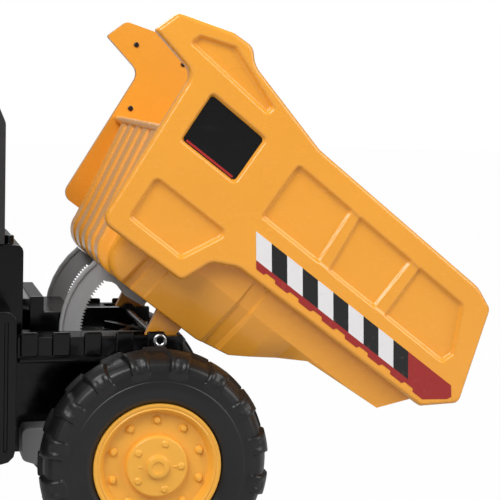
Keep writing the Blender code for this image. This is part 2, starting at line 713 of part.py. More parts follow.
def front_axle():
    """Steel beam with a yoke at each end for the kingpins."""
    parts = [box((-WHEELBASE - 0.010, -0.126, 0.140), (-WHEELBASE + 0.010, 0.126, 0.1902))]
    for side in (-1, 1):
        low, high = sorted((side * 0.120, side * 0.165))
        for z in (0.140, 0.1852):
            parts.append(box((-WHEELBASE - 0.014, low, z), (-WHEELBASE + 0.014, high, z + 0.005)))
    cuts = [cylinder((-WHEELBASE, side * KINGPIN_Y), 0.005 + GAP, 0.12, 0.22, "Z") for side in (-1, 1)]
    cuts.append(steering_bore(0.0105))
    body("front_axle_beam", BLACK, parts, cuts)


def knuckle(name, side, holder):
    """Kingpin, stub axle and steering arm; the holder stands on the kingpin at ground level."""
    low, high = sorted((side * 0.004, side * (AXLE_HALF - KINGPIN_Y)))
    arm = [(-0.006, -0.007), (STEER_ARM, -0.006), (STEER_ARM + 0.006, 0.0), (STEER_ARM, 0.006),
           (-0.006, 0.007)]
    parts = [
        cylinder((0, 0), 0.011, 0.1455, 0.1848, "Z"),
        cylinder((0, 0), 0.005, 0.1350, 0.1950, "Z"),
        prism(circle(0, TYRE_R, AXLE_R, 12), low, high),
        prism(arm, 0.1465, 0.1525, "Z"),
        cylinder((STEER_ARM - 0.001, 0), 0.003, 0.1280, 0.1490, "Z", 10),
    ]
    body(name, STEEL, parts, (), holder)


def tie_rod():
    """Flat bar whose slotted eyes take the pins of both steering arms."""
    x = -WHEELBASE + STEER_ARM - 0.001
    parts = [box((x - 0.006, -KINGPIN_Y - 0.010, 0.1310), (x + 0.006, KINGPIN_Y + 0.010, 0.1370))]
    for side in (-1, 1):
        parts.append(box((x - 0.013, side * KINGPIN_Y - 0.010, 0.1310),
                         (x + 0.010, side * KINGPIN_Y + 0.010, 0.1370)))
    cuts = []
    for side in (-1, 1):
        middle = side * KINGPIN_Y
        cuts.append(box((x - 0.0085, middle - 0.0042, 0.12), (x + 0.0045, middle + 0.0042, 0.15)))
    body("tie_rod", STEEL, parts, cuts)


def controls(pedal_holder, lever_holder, switch_holder):
    outline = rounded([(-0.078, 0.0), (-0.078, 0.008), (0.006, 0.008), (0.006, 0.0)], 0.002, 1)
    body("pedal", BLACK,
         [prism(outline, -0.025, 0.025), cylinder((0, 0.0), 0.005, -0.025, 0.025, segments=10)],
         (), pedal_holder)
    stem = cylinder((0, 0), 0.0035, 0.0, 0.050, "Z", 10)
    knob = cylinder((0, 0), 0.009, 0.045, 0.062, "Z", 12)
    body("direction_lever", BLACK, [stem, knob], (), lever_holder, True)
    rocker = [(-0.009, -0.003), (0.009, -0.003), (0.010, 0.004), (0.0, 0.0015), (-0.010, 0.004)]
    body("tip_switch", RED, [prism(rocker, -0.0060, 0.0060)], (), switch_holder)


# ---------------------------------------------------------------- wheels

def wheel(name, holder, side):
    """Tyre, hub and cap round the Y axis; the holder stands at the hub in the middle plane."""
    bead = RIM_R + GAP
    tyre = [(bead, 0.252), (bead, 0.260), (0.124, TYRE_OUT), (0.150, 0.2660), (TYRE_R, 0.243),
            (TYRE_R, 0.209), (0.150, 0.1860), (0.124, TYRE_IN), (bead, 0.192), (bead, 0.200),
            (0.146, 0.1920), (0.160, 0.212), (0.160, 0.240), (0.146, 0.2600)]
    hub = [(AXLE_R + SLIP, 0.186), (0.020, 0.186), (0.022, 0.234), (0.083, 0.234), (0.083, 0.196), (RIM_R, 0.196),
           (RIM_R, 0.262), (0.082, 0.262), (0.074, 0.247), (AXLE_R + SLIP, 0.247)]
    shapes = {
        "tyre": (turned(tyre), RUBBER),
        "hub": (turned(hub), YELLOW),
        "cap": (loft([[(x, y, z) for x, z in circle(0, 0, radius, 20)] for radius, y in CAP_PROFILE]),
                YELLOW),
    }
    for part, (mesh, spec) in shapes.items():
        body(name + "_" + part, spec, [mirrored(mesh) if side < 0 else mesh], (), holder, True)


def main():
    clear_scene()
    truck = empty("truck", (ORIGIN_X, 0.0, 0.0))
    hinge = empty("bed_hinge", (HINGE_X, 0.0, HINGE_Z), (0.0, math.radians(TILT_DEG), 0.0))
    bed_side_panels(hinge)
    bed_hopper(hinge)
    bed_front_wall(hinge)
    bed_hinge_legs(hinge)
    tip_arcs(hinge)

    shaft_x, shaft_z = tip_shaft_place()
    mesh_turn = -math.radians(PINION_DEG)
    tip_drive(empty("tip_shaft_axis", (shaft_x, 0.0, shaft_z), (0.0, mesh_turn, 0.0)))
    tip_motor_parts()

    chassis_frame()
    deck_plate()
    side_rails()
    hinge_rod()
    rear_drive()
    seat_parts()
    side_steps()
    hood()
    grille()
    bumper()
    dashboard()

    tilt = steering_frame()[1]
    steering(empty("steering_axis", STEER_TOP, (0.0, tilt, 0.0)))
    front_axle()
    tie_rod()
    for side, word in ((-1, "left"), (1, "right")):
        knuckle("knuckle_" + word, side, empty("kingpin_" + word, (-WHEELBASE, side * KINGPIN_Y, 0.0)))
        wheel("rear_" + word, empty("rear_" + word + "_axis", (0.0, 0.0, TYRE_R)), side)
        wheel("front_" + word, empty("front_" + word + "_axis", (-WHEELBASE, 0.0, TYRE_R)), side)
    controls(empty("pedal_axis", (-0.420, 0.055, 0.2215), (0.0, math.radians(22), 0.0)),
             empty("lever_axis", (-0.501, 0.078, 0.475), (0.0, math.radians(35), 0.0)),
             empty("switch_axis", SWITCH_AT, (0.0, SWITCH_TILT, 0.0)))

    for thing in bpy.data.objects:
        if thing is not truck and thing.parent is None:
            thing.parent = truck


main()
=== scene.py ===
"""Looks of the ride-on tipper truck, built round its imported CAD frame.

Metres, +Z up, front at -X, the truck's right at +Y. The bed is drawn lying flat in its own plane
(u to the rear, v up) about its hinge and is turned to its raised angle by bed_place.
"""

import json
import math

import bmesh
import bpy
import numpy as np
from mathutils import Matrix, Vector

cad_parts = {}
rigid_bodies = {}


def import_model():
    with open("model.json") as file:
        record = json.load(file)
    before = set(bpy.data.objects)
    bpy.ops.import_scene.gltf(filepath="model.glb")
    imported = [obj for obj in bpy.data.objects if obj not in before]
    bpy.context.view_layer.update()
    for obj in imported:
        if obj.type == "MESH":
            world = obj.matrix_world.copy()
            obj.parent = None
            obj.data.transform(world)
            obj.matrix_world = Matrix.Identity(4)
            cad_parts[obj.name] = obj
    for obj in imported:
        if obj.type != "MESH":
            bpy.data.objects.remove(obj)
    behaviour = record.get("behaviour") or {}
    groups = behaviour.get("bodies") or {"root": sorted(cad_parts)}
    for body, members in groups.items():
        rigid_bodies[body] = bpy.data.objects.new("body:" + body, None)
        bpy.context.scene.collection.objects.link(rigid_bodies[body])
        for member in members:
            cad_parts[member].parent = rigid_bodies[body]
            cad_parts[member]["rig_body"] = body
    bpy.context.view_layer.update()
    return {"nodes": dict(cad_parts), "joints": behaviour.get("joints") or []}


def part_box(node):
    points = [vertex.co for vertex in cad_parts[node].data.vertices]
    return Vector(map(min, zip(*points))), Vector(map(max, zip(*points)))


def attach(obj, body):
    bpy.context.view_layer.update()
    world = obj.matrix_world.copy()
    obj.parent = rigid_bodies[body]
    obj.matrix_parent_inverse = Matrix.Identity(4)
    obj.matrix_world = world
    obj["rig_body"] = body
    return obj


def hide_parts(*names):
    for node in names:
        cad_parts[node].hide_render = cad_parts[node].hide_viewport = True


bl_info = {
    "name": "Ride-on tipper truck",
    "version": (1, 0, 0),
    "blender": (4, 5, 0),
    "location": "3D View > Sidebar > Tipper",
    "description": "Builds the finished surfaces of a ride-on tipper truck",
    "category": "Add Mesh",
}

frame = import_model()


# ---- places taken from the frame

def corners_of(node):
    """The lowest and the highest corner of a node's box."""
    return tuple(np.array(corner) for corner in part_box(node))


def middle_of(node):
    low, high = corners_of(node)
    return (low + high) / 2


def y_span(node):
    low, high = corners_of(node)
    return low[1], high[1]


def radius_of(node):
    low, high = corners_of(node)
    return (high[2] - low[2]) / 2


JOINTS = {joint["name"]: joint for joint in frame["joints"]}
HINGE = middle_of("hinge_rod")
TILT = math.radians(-min(JOINTS["bed_tip"]["range_deg"]))
SIDES = (("left", -1.0), ("right", 1.0))
TYRE_R = radius_of("rear_right_tyre")
TYRE_IN, TYRE_OUT = y_span("rear_right_tyre")
RIM_R = radius_of("rear_right_hub")
PANEL_IN, PANEL_OUT = y_span("bed_side_right")
WALL_HALF = y_span("bed_front_wall")[1]
FIT = 0.0003


def bed_place(u, y, v):
    """Points of the bed's own plane turned about the hinge to the raised angle."""
    u, y, v = np.broadcast_arrays(u, y, v)
    x = HINGE[0] + u * math.cos(TILT) + v * math.sin(TILT)
    z = HINGE[2] - u * math.sin(TILT) + v * math.cos(TILT)
    return np.stack([x, y, z], axis=-1)


def bed_side_place(points, sign):
    """Points (u, v, distance from the middle plane) put on one side of the bed."""
    return bed_place(points[:, 0], sign * points[:, 2], points[:, 1])


# ---- shapes

BED_OUTLINE = (
    (-0.288, 0.338), (-0.277, 0.377), (-0.200, 0.404), (-0.164, 0.406), (-0.150, 0.388), (0.0, 0.353),
    (0.316, 0.344), (0.351, 0.330), (0.400, 0.193), (0.354, 0.154), (0.010, 0.150), (-0.026, 0.132),
    (-0.044, 0.086), (-0.185, 0.084), (-0.209, 0.324),
)
BED_CORNERS = (0.004, 0.010, 0.012, 0.020, 0.040, 0.060, 0.050, 0.012, 0.012, 0.010, 0.040, 0.020,
               0.010, 0.018, 0.020)
KIDNEY = ((-0.242, 0.353), (-0.236, 0.372), (-0.185, 0.392), (-0.088, 0.359), (-0.090, 0.343))
SQUARE = ((-0.175, 0.322), (-0.069, 0.319), (-0.066, 0.238), (-0.169, 0.238))
LOW_FRONT = ((-0.165, 0.181), (-0.028, 0.181), (-0.063, 0.109), (-0.160, 0.110))
REAR = ((-0.014, 0.319), (0.313, 0.311), (0.348, 0.244), (0.341, 0.223), (-0.011, 0.225))
RIBS = (
    ((0.086, 0.360), (0.104, 0.360), (0.126, 0.180), (0.100, 0.180)),
    ((0.208, 0.360), (0.227, 0.360), (0.229, 0.180), (0.202, 0.180)),
)
RIB_RISE = 0.65                        # of the hollow's depth
PANEL_SHARP = 80.0                     # degrees, over which an edge is drawn sharp
STRIP_TOP, STRIP_LOW, RED_LOW = 0.206, 0.174, 0.164
STRIP_FRONT, STRIP_BACK = -0.003, 0.287
STRIPE = 0.029
STRIPE_SLANT = 0.81
STRIP_TAIL = ((0.372, STRIP_TOP), (0.383, 0.193), (0.380, 0.187), (0.349, RED_LOW))
TOOTH_FIRST, TOOTH_LAST, TOOTH_PITCH = 0.330, 0.060, 0.044
TOOTH_RISE, TOOTH_SLOPE, TOOTH_WIDTH = 0.004, 0.003, 0.022
PLATE = ((-0.1705, 0.3175), (-0.0735, 0.3150), (-0.0705, 0.2425), (-0.1650, 0.2425))
# outline of the thin red bar along the plate's lower edge: a painted highlight where that rounded edge
# catches light, drawn as a red slab
PLATE_HIGHLIGHT_BAR = ((-0.1600, 0.2470), (-0.0760, 0.2470), (-0.0760, 0.2438), (-0.1600, 0.2438))

FLOOR_U = (-0.100, 0.040, 0.092, 0.185, 0.312)
FLOOR_V = (0.033, 0.033, 0.043, 0.106, 0.114)
HOPPER_TOP = 0.158
HOPPER_HALF, HOPPER_SPREAD = 0.185, 0.037    # half width of the low floor, and what the rise adds
HOPPER_RISE = 0.081
EDGE_Y, EDGE_V, EDGE_DROP = 0.222, 0.111, 0.047   # where the upright walls meet the sloping ones
TAIL_U, TAIL_LEAN = 0.30, 0.036
CREASES = ((-0.096, -0.057, 0.022), (0.045, 0.073, -0.004))   # start, end and slant of sunk facets
CREASE_DEPTH, CREASE_SOFT = 0.0045, 0.004
FACET_U, FACET_DEPTH = (0.073, 0.116, 0.150, 0.190), (0.0, 0.0, 0.010, 0.0)
WALL_U = -0.140
WALL_LOW, WALL_BEND = 0.033, 0.0385
WALL_SIDE_LOW = 0.100                  # foot of the wall where the hopper's sides slope
LIP_U, LIP_LOW, LIP_HIGH = -0.196, 0.236, 0.246
WALL_T = 0.004
WALL_LEAN = 0.032                      # of the front wall's top, towards the front
RIB_PITCH, RIB_HALF, RIB_DEPTH = 0.072, 0.024, 0.018
RIB_FOOT, RIB_SLOPE = 0.004, 0.009
SKIN_SCREWS = (
    (-0.241, 0.357), (-0.159, 0.381), (-0.184, 0.268), (0.060, 0.330), (0.200, 0.325), (0.330, 0.300),
    (0.360, 0.215), (0.060, 0.175), (0.220, 0.175),
)
SCREW_R = (0.0, 0.0010, 0.0012, 0.0032, 0.0042, 0.0045, 0.0045, 0.0)
SCREW_Y = (0.0008, 0.0008, 0.0020, 0.0022, 0.0016, 0.0006, -0.0010, -0.0010)


def smooth_step(t):
    """0 below 0, 1 above 1, and the cubic 3t^2 - 2t^3 between."""
    t = np.clip(t, 0.0, 1.0)
    return t * t * (3.0 - 2.0 * t)


def rounded(corners, radii, steps=6):
    """A closed outline with each corner swapped for an arc: the arc's middle lies on the corner's
    bisector at radius / sin(half the corner's angle), and it starts where it touches the first edge."""
    here = np.array(corners, float)
    radii = np.broadcast_to(np.array(radii, float), len(here))
    before = np.roll(here, 1, axis=0) - here
    after = np.roll(here, -1, axis=0) - here
    before /= np.linalg.norm(before, axis=1, keepdims=True)
    after /= np.linalg.norm(after, axis=1, keepdims=True)
    half = np.arccos(np.clip((before * after).sum(1), -1, 1)) / 2
    bisector = before + after
    bisector /= np.linalg.norm(bisector, axis=1, keepdims=True)
    middle = here + bisector * (radii / np.sin(half))[:, None]
    start = here + before * (radii / np.tan(half))[:, None] - middle
    turn = np.where(before[:, 0] * after[:, 1] - before[:, 1] * after[:, 0] < 0, 1.0, -1.0)
    angle = (turn * (math.pi - 2 * half))[:, None] * np.linspace(0, 1, steps + 1)[None, :]
    x = start[:, :1] * np.cos(angle) - start[:, 1:] * np.sin(angle)
    y = start[:, :1] * np.sin(angle) + start[:, 1:] * np.cos(angle)
    return (middle[:, None, :] + np.stack([x, y], axis=-1)).reshape(-1, 2)


def outline_distance(points, outline):
    """Distance of each point to a closed outline, positive inside, and its nearest point there.
    The nearest point of each edge is its projection held to the edge; the sign is by crossings."""
    a = np.array(outline, float)
    b = np.roll(a, -1, axis=0)
    edge = b - a
    best = np.full(len(points), np.inf)
    nearest = np.zeros_like(points)
    crossings = np.zeros(len(points), int)
    for start, along in zip(a, edge):
        share = np.clip(((points - start) @ along) / max(along @ along, 1e-12), 0, 1)
        foot = start + share[:, None] * along
        reach = np.linalg.norm(points - foot, axis=1)
        nearer = reach < best
        best = np.where(nearer, reach, best)
        nearest[nearer] = foot[nearer]
        spans = (start[1] > points[:, 1]) != (start[1] + along[1] > points[:, 1])
        rise = along[1] if abs(along[1]) > 1e-12 else 1e-12
        crossings += spans & (points[:, 0] < start[0] + (points[:, 1] - start[1]) * along[0] / rise)
    return np.where(crossings % 2 == 1, best, -best), nearest


def grid_faces(rows, columns, wrap_rows=False, wrap_columns=False):
    """Quads between neighbouring nodes of a grid of rows by columns, joined round where it wraps."""
    i, j = np.meshgrid(np.arange(rows if wrap_rows else rows - 1),
                       np.arange(columns if wrap_columns else columns - 1), indexing="ij")
    i, j = i.ravel(), j.ravel()
    after, up = (i + 1) % rows, (j + 1) % columns
    return np.stack([i * columns + j, after * columns + j, after * columns + up, i * columns + up], axis=1)


def relief(outline, cell, face, back, hollows, edge):
    """A slab over an outline, its front a height field: face height, less each hollow's depth over
    its slope, less the quarter circle of the edge's rounding. Nodes on the rim slide to the outline.
    Returns (u, v, height) points and faces."""
    low, high = outline.min(0) - cell, outline.max(0) + cell
    u = np.arange(low[0], high[0] + cell, cell)
    v = np.arange(low[1], high[1] + cell, cell)
    points = np.stack(np.meshgrid(u, v, indexing="ij"), axis=-1).reshape(-1, 2)
    quads = grid_faces(len(u), len(v))
    quads = quads[outline_distance(points[quads].mean(1), outline)[0] > 0]
    starts, ends = quads.ravel(), np.roll(quads, -1, axis=1).ravel()
    rim = ~np.isin(starts * len(points) + ends, ends * len(points) + starts)
    rim_nodes = np.unique(starts[rim])
    points[rim_nodes] = outline_distance(points[rim_nodes], outline)[1]

    used = np.unique(quads)
    number = np.full(len(points), -1)
    number[used] = np.arange(len(used))
    points = points[used]
    inside = np.maximum(outline_distance(points, outline)[0], 0.0)
    inside[number[rim_nodes]] = 0.0
    short = np.clip(edge - inside, 0.0, edge)
    height = face - edge + np.sqrt(edge ** 2 - short ** 2)
    for share, depth in hollows(points):
        height = height - depth * share
    quads = number[quads]
    count = len(points)
    front = np.column_stack([points, height])
    rear = np.column_stack([points, np.full(count, back)])
    a, b = number[starts[rim]], number[ends[rim]]
    walls = np.stack([b, a, a + count, b + count], axis=1)
    return np.concatenate([front, rear]), np.concatenate([quads, quads[:, ::-1] + count, walls])


def hollow(points, outline, slope):
    """Share of a hollow's depth: the smooth step of the distance inside its outline over its slope."""
    return smooth_step(outline_distance(points, outline)[0] / slope)


def prism(outline, low, high):
    """An outline of (a, b) points carried from low to high: two ends and a ring of walls."""
    outline = np.array(outline, float)
    count = len(outline)
    points = np.concatenate([np.column_stack([outline, np.full(count, level)]) for level in (low, high)])
    ring = grid_faces(2, count, wrap_columns=True).tolist()
    return points, ring + [list(range(count)), list(range(count, 2 * count))]


def turned(radius, height, steps):
    """Profile points (radius, height), which may vary with the angle, turned once round an axis:
    x = r cos a, z = r sin a. Rows are angles and columns run along the closed profile."""
    angle = np.arange(steps)[:, None] * (2 * math.pi / steps)
    radius, height, angle = np.broadcast_arrays(radius, height, angle)
    points = np.stack([radius * np.cos(angle), height, radius * np.sin(angle)], axis=-1)
    return points.reshape(-1, 3), grid_faces(steps, radius.shape[1], True, True)


def loft(loops):
    """A closed skin over rows of points, each row a closed loop, with both end rows capped."""
    rows, columns = loops.shape[:2]
    faces = grid_faces(rows, columns, wrap_columns=True).tolist()
    caps = [list(range(columns)), list(range((rows - 1) * columns, rows * columns))]
    return loops.reshape(-1, 3), faces + caps


def eased(path, share=0.25, steps=4):
    """Each inner corner of open paths (..., n, 2) swapped for a quadratic curve that leaves and
    joins the corner's edges at a share of their length."""
    turns = [path[..., :1, :]]
    t = np.linspace(0, 1, steps + 1)[:, None]
    for k in range(1, path.shape[-2] - 1):
        corner = path[..., k:k + 1, :]
        start = corner + (path[..., k - 1:k, :] - corner) * share
        end = corner + (path[..., k + 1:k + 2, :] - corner) * share
        turns.append((1 - t) ** 2 * start + 2 * t * (1 - t) * corner + t ** 2 * end)
    turns.append(path[..., -1:, :])
    return np.concatenate(turns, axis=-2)


# ---- publishing

def tidy_mesh(mesh, dissolve=False):
    """Merges doubles, dissolves flat edges where asked, and points every face outwards."""
    shape = bmesh.new()
    shape.from_mesh(mesh)
    bmesh.ops.remove_doubles(shape, verts=shape.verts, dist=1e-6)
    if dissolve:
        bmesh.ops.dissolve_limit(shape, angle_limit=math.radians(1.0), verts=shape.verts, edges=shape.edges)
    bmesh.ops.recalc_face_normals(shape, faces=shape.faces)
    shape.to_mesh(mesh)
    shape.free()


def publish(name, shape, finish, body, stands_for=(), sharp=38.0, plane=None, bevel=0.0):
    """Makes the piece, shades it, gives it its finish and hands it to its body."""
    points, faces = shape
    mesh = bpy.data.meshes.new(name)
    faces = faces.tolist() if isinstance(faces, np.ndarray) else faces
    mesh.from_pydata(np.asarray(points).tolist(), [], faces)
    if plane is not None:
        corner = np.zeros(len(mesh.loops), int)
        mesh.loops.foreach_get("vertex_index", corner)
        places = np.asarray(plane)[corner].astype(np.float32).ravel()
        mesh.uv_layers.new(name="plane").data.foreach_set("uv", places)
    tidy_mesh(mesh)
    return finish_piece(name, mesh, finish, body, stands_for, sharp, bevel)


def finish_piece(name, mesh, finish, body, stands_for, sharp, bevel):
    """Shades the mesh, rounds its edges by bevel, names its body and hides the nodes it replaces."""
    mesh.shade_smooth()
    mesh.set_sharp_from_angle(angle=math.radians(sharp))
    mesh.materials.clear()
    mesh.materials.append(material_of(finish))
    piece = bpy.data.objects.new(name, mesh)
    bpy.context.scene.collection.objects.link(piece)
    if bevel:
        rim = piece.modifiers.new("edges", "BEVEL")
        rim.width = bevel
        rim.segments = 2
        rim.limit_method = "ANGLE"
        rim.angle_limit = math.radians(35)
        rim.harden_normals = True
    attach(piece, body)
    if stands_for:
        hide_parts(*stands_for)
    return piece


def softened(node, finish, bevel, sharp=38.0):
    """A copy of a CAD node with its edges rounded."""
    thing = frame["nodes"][node]
    mesh = thing.data.copy()
    tidy_mesh(mesh, dissolve=True)
    return finish_piece(node + "_shell", mesh, finish, thing["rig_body"], (node,), sharp, bevel)


def dress(node, finish):
    """A CAD node kept as it is, with a finish of its own."""
    thing = frame["nodes"][node]
    thing.data.materials.clear()
    thing.data.materials.append(material_of(finish))


def repeated(copies, faces):
    """Several copies of one shape as one: their points in one list, their faces counted on."""
    offsets = np.arange(len(copies))[:, None, None] * len(copies[0])
    return np.concatenate(copies), (faces + offsets).reshape(-1, faces.shape[1])


# ---- finishes

def sums(operation, swapped=False):
    """An arithmetic method of Value, done by one math node."""
    def method(self, other):
        first, second = (other, self) if swapped else (self, other)
        node = self.finish.node("ShaderNodeMath", {"operation": operation}, {0: first, 1: second})
        return Value(self.finish, node.outputs[0])
    return method


class Value:
    """A socket of a finish that takes part in sums."""
    __add__ = sums("ADD")
    __sub__ = sums("SUBTRACT")
    __rsub__ = sums("SUBTRACT", swapped=True)
    __mul__ = sums("MULTIPLY")
    __truediv__ = sums("DIVIDE")
    __gt__ = sums("GREATER_THAN")
    __lt__ = sums("LESS_THAN")

    def __init__(self, finish, socket):
        self.finish, self.socket = finish, socket

    def part(self):
        node = self.finish.node("ShaderNodeMath", {"operation": "FRACT"}, {0: self})
        return Value(self.finish, node.outputs[0])

    def held(self):
        node = self.finish.node("ShaderNodeClamp", {}, {"Value": self})
        return Value(self.finish, node.outputs[0])


class Finish:
    """One material's nodes, ended in its Principled shader."""

    def __init__(self, name):
        self.material = bpy.data.materials.new(name)
        self.material.use_nodes = True
        self.tree = self.material.node_tree
        self.shader = self.tree.nodes["Principled BSDF"]
        self.place = self.node("ShaderNodeTexCoord").outputs["Object"]

    def join(self, socket, value):
        if isinstance(value, Value):
            value = value.socket
        if isinstance(value, bpy.types.NodeSocket):
            self.tree.links.new(value, socket)
        else:
            socket.default_value = value

    def node(self, kind, settings=None, sockets=None):
        made = self.tree.nodes.new(kind)
        for key, value in (settings or {}).items():
            setattr(made, key, value)
        for key, value in (sockets or {}).items():
            self.join(made.inputs[key], value)
        return made

    def noise(self, scale, detail=3.0, stretch=None):
        place = self.place
        if stretch:
            place = self.node("ShaderNodeMapping", {}, {"Vector": self.place, "Scale": stretch}).outputs[0]
        made = self.node("ShaderNodeTexNoise", {}, {"Vector": place, "Scale": scale, "Detail": detail})
        return Value(self, made.outputs[0])

    def cells(self, scale):
        made = self.node("ShaderNodeTexVoronoi", {"feature": "DISTANCE_TO_EDGE"},
                         {"Vector": self.place, "Scale": scale})
        return Value(self, made.outputs["Distance"])

    def blend(self, share, first, second):
        mix = self.node("ShaderNodeMix", {"data_type": "RGBA"}, {0: share, 6: first, 7: second})
        return mix.outputs[2]

    def bump(self, height, strength, depth):
        sockets = {"Height": height, "Strength": strength, "Distance": depth}
        return self.node("ShaderNodeBump", {}, sockets).outputs[0]

    def surface(self, **sockets):
        for key, value in sockets.items():
            self.join(self.shader.inputs[key.replace("_", " ")], value)
        return self.material


def tint(colour, factor=1.0):
    return (*(min(1.0, channel * factor) for channel in colour), 1.0)


def chosen(name):
    return tuple(getattr(bpy.context.scene.tipper_colours, name))


def moulded(name, colour, roughness, coat=0.0, peel=0.05, grain=420.0, shine=0.5):
    """Moulded plastic: slow drifts of tone, faint flow marks, scuffs that dull it, and a fine skin."""
    finish = Finish(name)
    drift = finish.noise(7.0, 2.0)
    scuff = ((finish.noise(34.0, 5.0, (1.0, 1.0, 3.0)) - 0.56) * 5.0).held()
    base = finish.blend(drift, tint(colour, 0.93), tint(colour, 1.05))
    base = finish.blend(scuff * 0.10, base, tint([c * 0.9 + 0.01 for c in colour]))
    skin = finish.noise(grain, 2.0) * 0.3 + finish.noise(16.0, 1.0)
    dullness = scuff * 0.12 + finish.noise(60.0) * 0.08 + (roughness - 0.04)
    return finish.surface(Base_Color=base, Roughness=dullness, Coat_Weight=coat, Specular_IOR_Level=shine,
                          Normal=finish.bump(skin, peel, 0.001))


def seat_plastic():
    """Grained satin black: pebbles between the edges of a cell pattern."""
    finish = Finish("seat_grain")
    pebble = (finish.cells(330.0) * 3.0).held()
    colour = chosen("seat")
    base = finish.blend(finish.noise(9.0), tint(colour, 0.85), tint(colour, 1.3))
    return finish.surface(Base_Color=base, Roughness=0.52 - pebble * 0.12,
                          Normal=finish.bump(pebble, 0.35, 0.0006))


def rubber():
    """Tyre plastic: satin black, dusted paler in patches, with the ripple of blow moulding."""
    finish = Finish("tyre_black")
    colour = chosen("tyre")
    dust = ((finish.noise(12.0, 6.0) - 0.45) * 3.0).held()
    base = finish.blend(dust * 0.35, tint(colour), tint([c + 0.012 for c in colour]))
    ripple = finish.noise(46.0, 2.0) + finish.noise(500.0, 2.0) * 0.25
    return finish.surface(Base_Color=base, Roughness=dust * 0.12 + 0.36,
                          Normal=finish.bump(ripple, 0.12, 0.001))


def zinc():
    """Plated steel with fine turning marks and patches of duller plate."""
    finish = Finish("zinc_plate")
    patch = finish.noise(55.0, 4.0)
    marks = finish.noise(260.0, 3.0, (1.0, 5.0, 1.0))
    base = finish.blend(patch, (0.50, 0.50, 0.51, 1.0), (0.74, 0.74, 0.75, 1.0))
    return finish.surface(Base_Color=base, Metallic=1.0, Roughness=patch * 0.18 + 0.18,
                          Normal=finish.bump(marks, 0.10, 0.0005))


def lens():
    """Clear moulded lens over a bright reflector, drawn as pale glossy plastic with fine flutes."""
    finish = Finish("lamp_clear")
    split = finish.node("ShaderNodeSeparateXYZ", {}, {0: finish.place})
    flutes = (Value(finish, split.outputs[1]) * 140.0).part()
    base = finish.blend(flutes * 0.35, (0.82, 0.85, 0.88, 1.0), (0.55, 0.58, 0.62, 1.0))
    return finish.surface(Base_Color=base, Roughness=0.08, Coat_Weight=1.0,
                          Normal=finish.bump(flutes, 0.3, 0.001))


def hazard_print():
    """Slanted bands of black and white over a red band with a toothed lower edge, then a red block.
    The print reads the label's own plane, in metres along and up the bed."""
    finish = Finish("hazard_print")
    plane = finish.node("ShaderNodeUVMap", {"uv_map": "plane"}).outputs[0]
    split = finish.node("ShaderNodeSeparateXYZ", {}, {0: plane})
    u, v = Value(finish, split.outputs[0]), Value(finish, split.outputs[1])
    slanted = u - STRIP_FRONT - (STRIP_TOP - v) * STRIPE_SLANT
    dark = (slanted / (2 * STRIPE)).part() > 0.5
    worn = ((finish.noise(90.0, 6.0) - 0.62) * 6.0).held() * 0.08
    bands = finish.blend(dark, (0.84, 0.82, 0.83, 1.0), (0.010, 0.010, 0.011, 1.0))
    red = (v < STRIP_LOW) + (slanted > STRIP_BACK - STRIP_FRONT)
    print_colour = finish.blend(red.held(), bands, (0.36, 0.022, 0.020, 1.0))
    return finish.surface(Base_Color=finish.blend(worn, print_colour, (0.62, 0.44, 0.25, 1.0)),
                          Roughness=finish.noise(70.0) * 0.10 + 0.24,
                          Normal=finish.bump(finish.noise(30.0), 0.04, 0.001))


# finish: its slot, and how its material is made
FINISHES = {
    "yellow": ("yellow_plastic", lambda: moulded("bed_yellow", chosen("body"), 0.24, 0.25, 0.03)),
    "hub": ("hub_plastic", lambda: moulded("hub_yellow", chosen("hub"), 0.34, 0.1)),
    "black": ("black_plastic",
              lambda: moulded("gloss_black", chosen("frame"), 0.16, 0.0, 0.04, shine=0.30)),
    "seat": ("seat_plastic", seat_plastic),
    "tyre": ("tyre", rubber),
    "grey": ("grey_plastic", lambda: moulded("gear_grey", chosen("gear"), 0.42, 0.0, 0.12)),
    "steel": ("steel", zinc),
    "painted": ("black_steel",
                lambda: moulded("painted_bar", chosen("frame"), 0.36, 0.3, 0.10, 180.0)),
    "battery": ("battery_case", lambda: moulded("battery_grey", (0.06, 0.07, 0.09), 0.48, 0.0, 0.10)),
    "lens": ("lamp_lens", lens),
    "red": ("red_plastic", lambda: moulded("button_red", (0.45, 0.02, 0.02), 0.28, 0.3)),
    "plate": ("black_plastic",
              lambda: moulded("plate_black", (0.006, 0.006, 0.0065), 0.15, 0.0, 0.03, shine=0.35)),
    "hazard": ("black_plastic", hazard_print),
}
MADE = {}


def material_of(finish):
    """The finish's material, made the first time it is asked for."""
    if finish not in MADE:
        MADE[finish] = FINISHES[finish][1]()
    return MADE[finish]


# ---- settings

def colour_setting(name, of_what, default):
    return bpy.props.FloatVectorProperty(name=name, description="Colour of the " + of_what,
                                         subtype="COLOR", size=3, default=default)


def length_setting(name, description, default, least=0.001):
    return bpy.props.FloatProperty(name=name, description=description, default=default, min=least,
                                   unit="LENGTH")


class TipperColours(bpy.types.PropertyGroup):
    body: colour_setting("Body", "bed and engine cover", (0.96, 0.40, 0.040))
    hub: colour_setting("Hubs", "wheel hubs", (0.95, 0.46, 0.055))
    frame: colour_setting("Frame", "frame and fairings", (0.0022, 0.0022, 0.0024))
    seat: colour_setting("Seat", "seat shell", (0.020, 0.020, 0.022))
    tyre: colour_setting("Tyres", "tyres", (0.0055, 0.0056, 0.0060))
    gear: colour_setting("Gears", "gears and housings", (0.38, 0.38, 0.385))


class TipperBed(bpy.types.PropertyGroup):
    cell: length_setting("Grid", "Spacing of the side panels' grid", 0.0020)
    depth: length_setting("Hollows", "Depth of the panels' moulded hollows", 0.0075, 0.0)
    slope: length_setting("Slope", "Width of the hollows' sloping walls", 0.0055)
    edge: length_setting("Edge", "Radius of the panels' rounded rim", 0.0060)


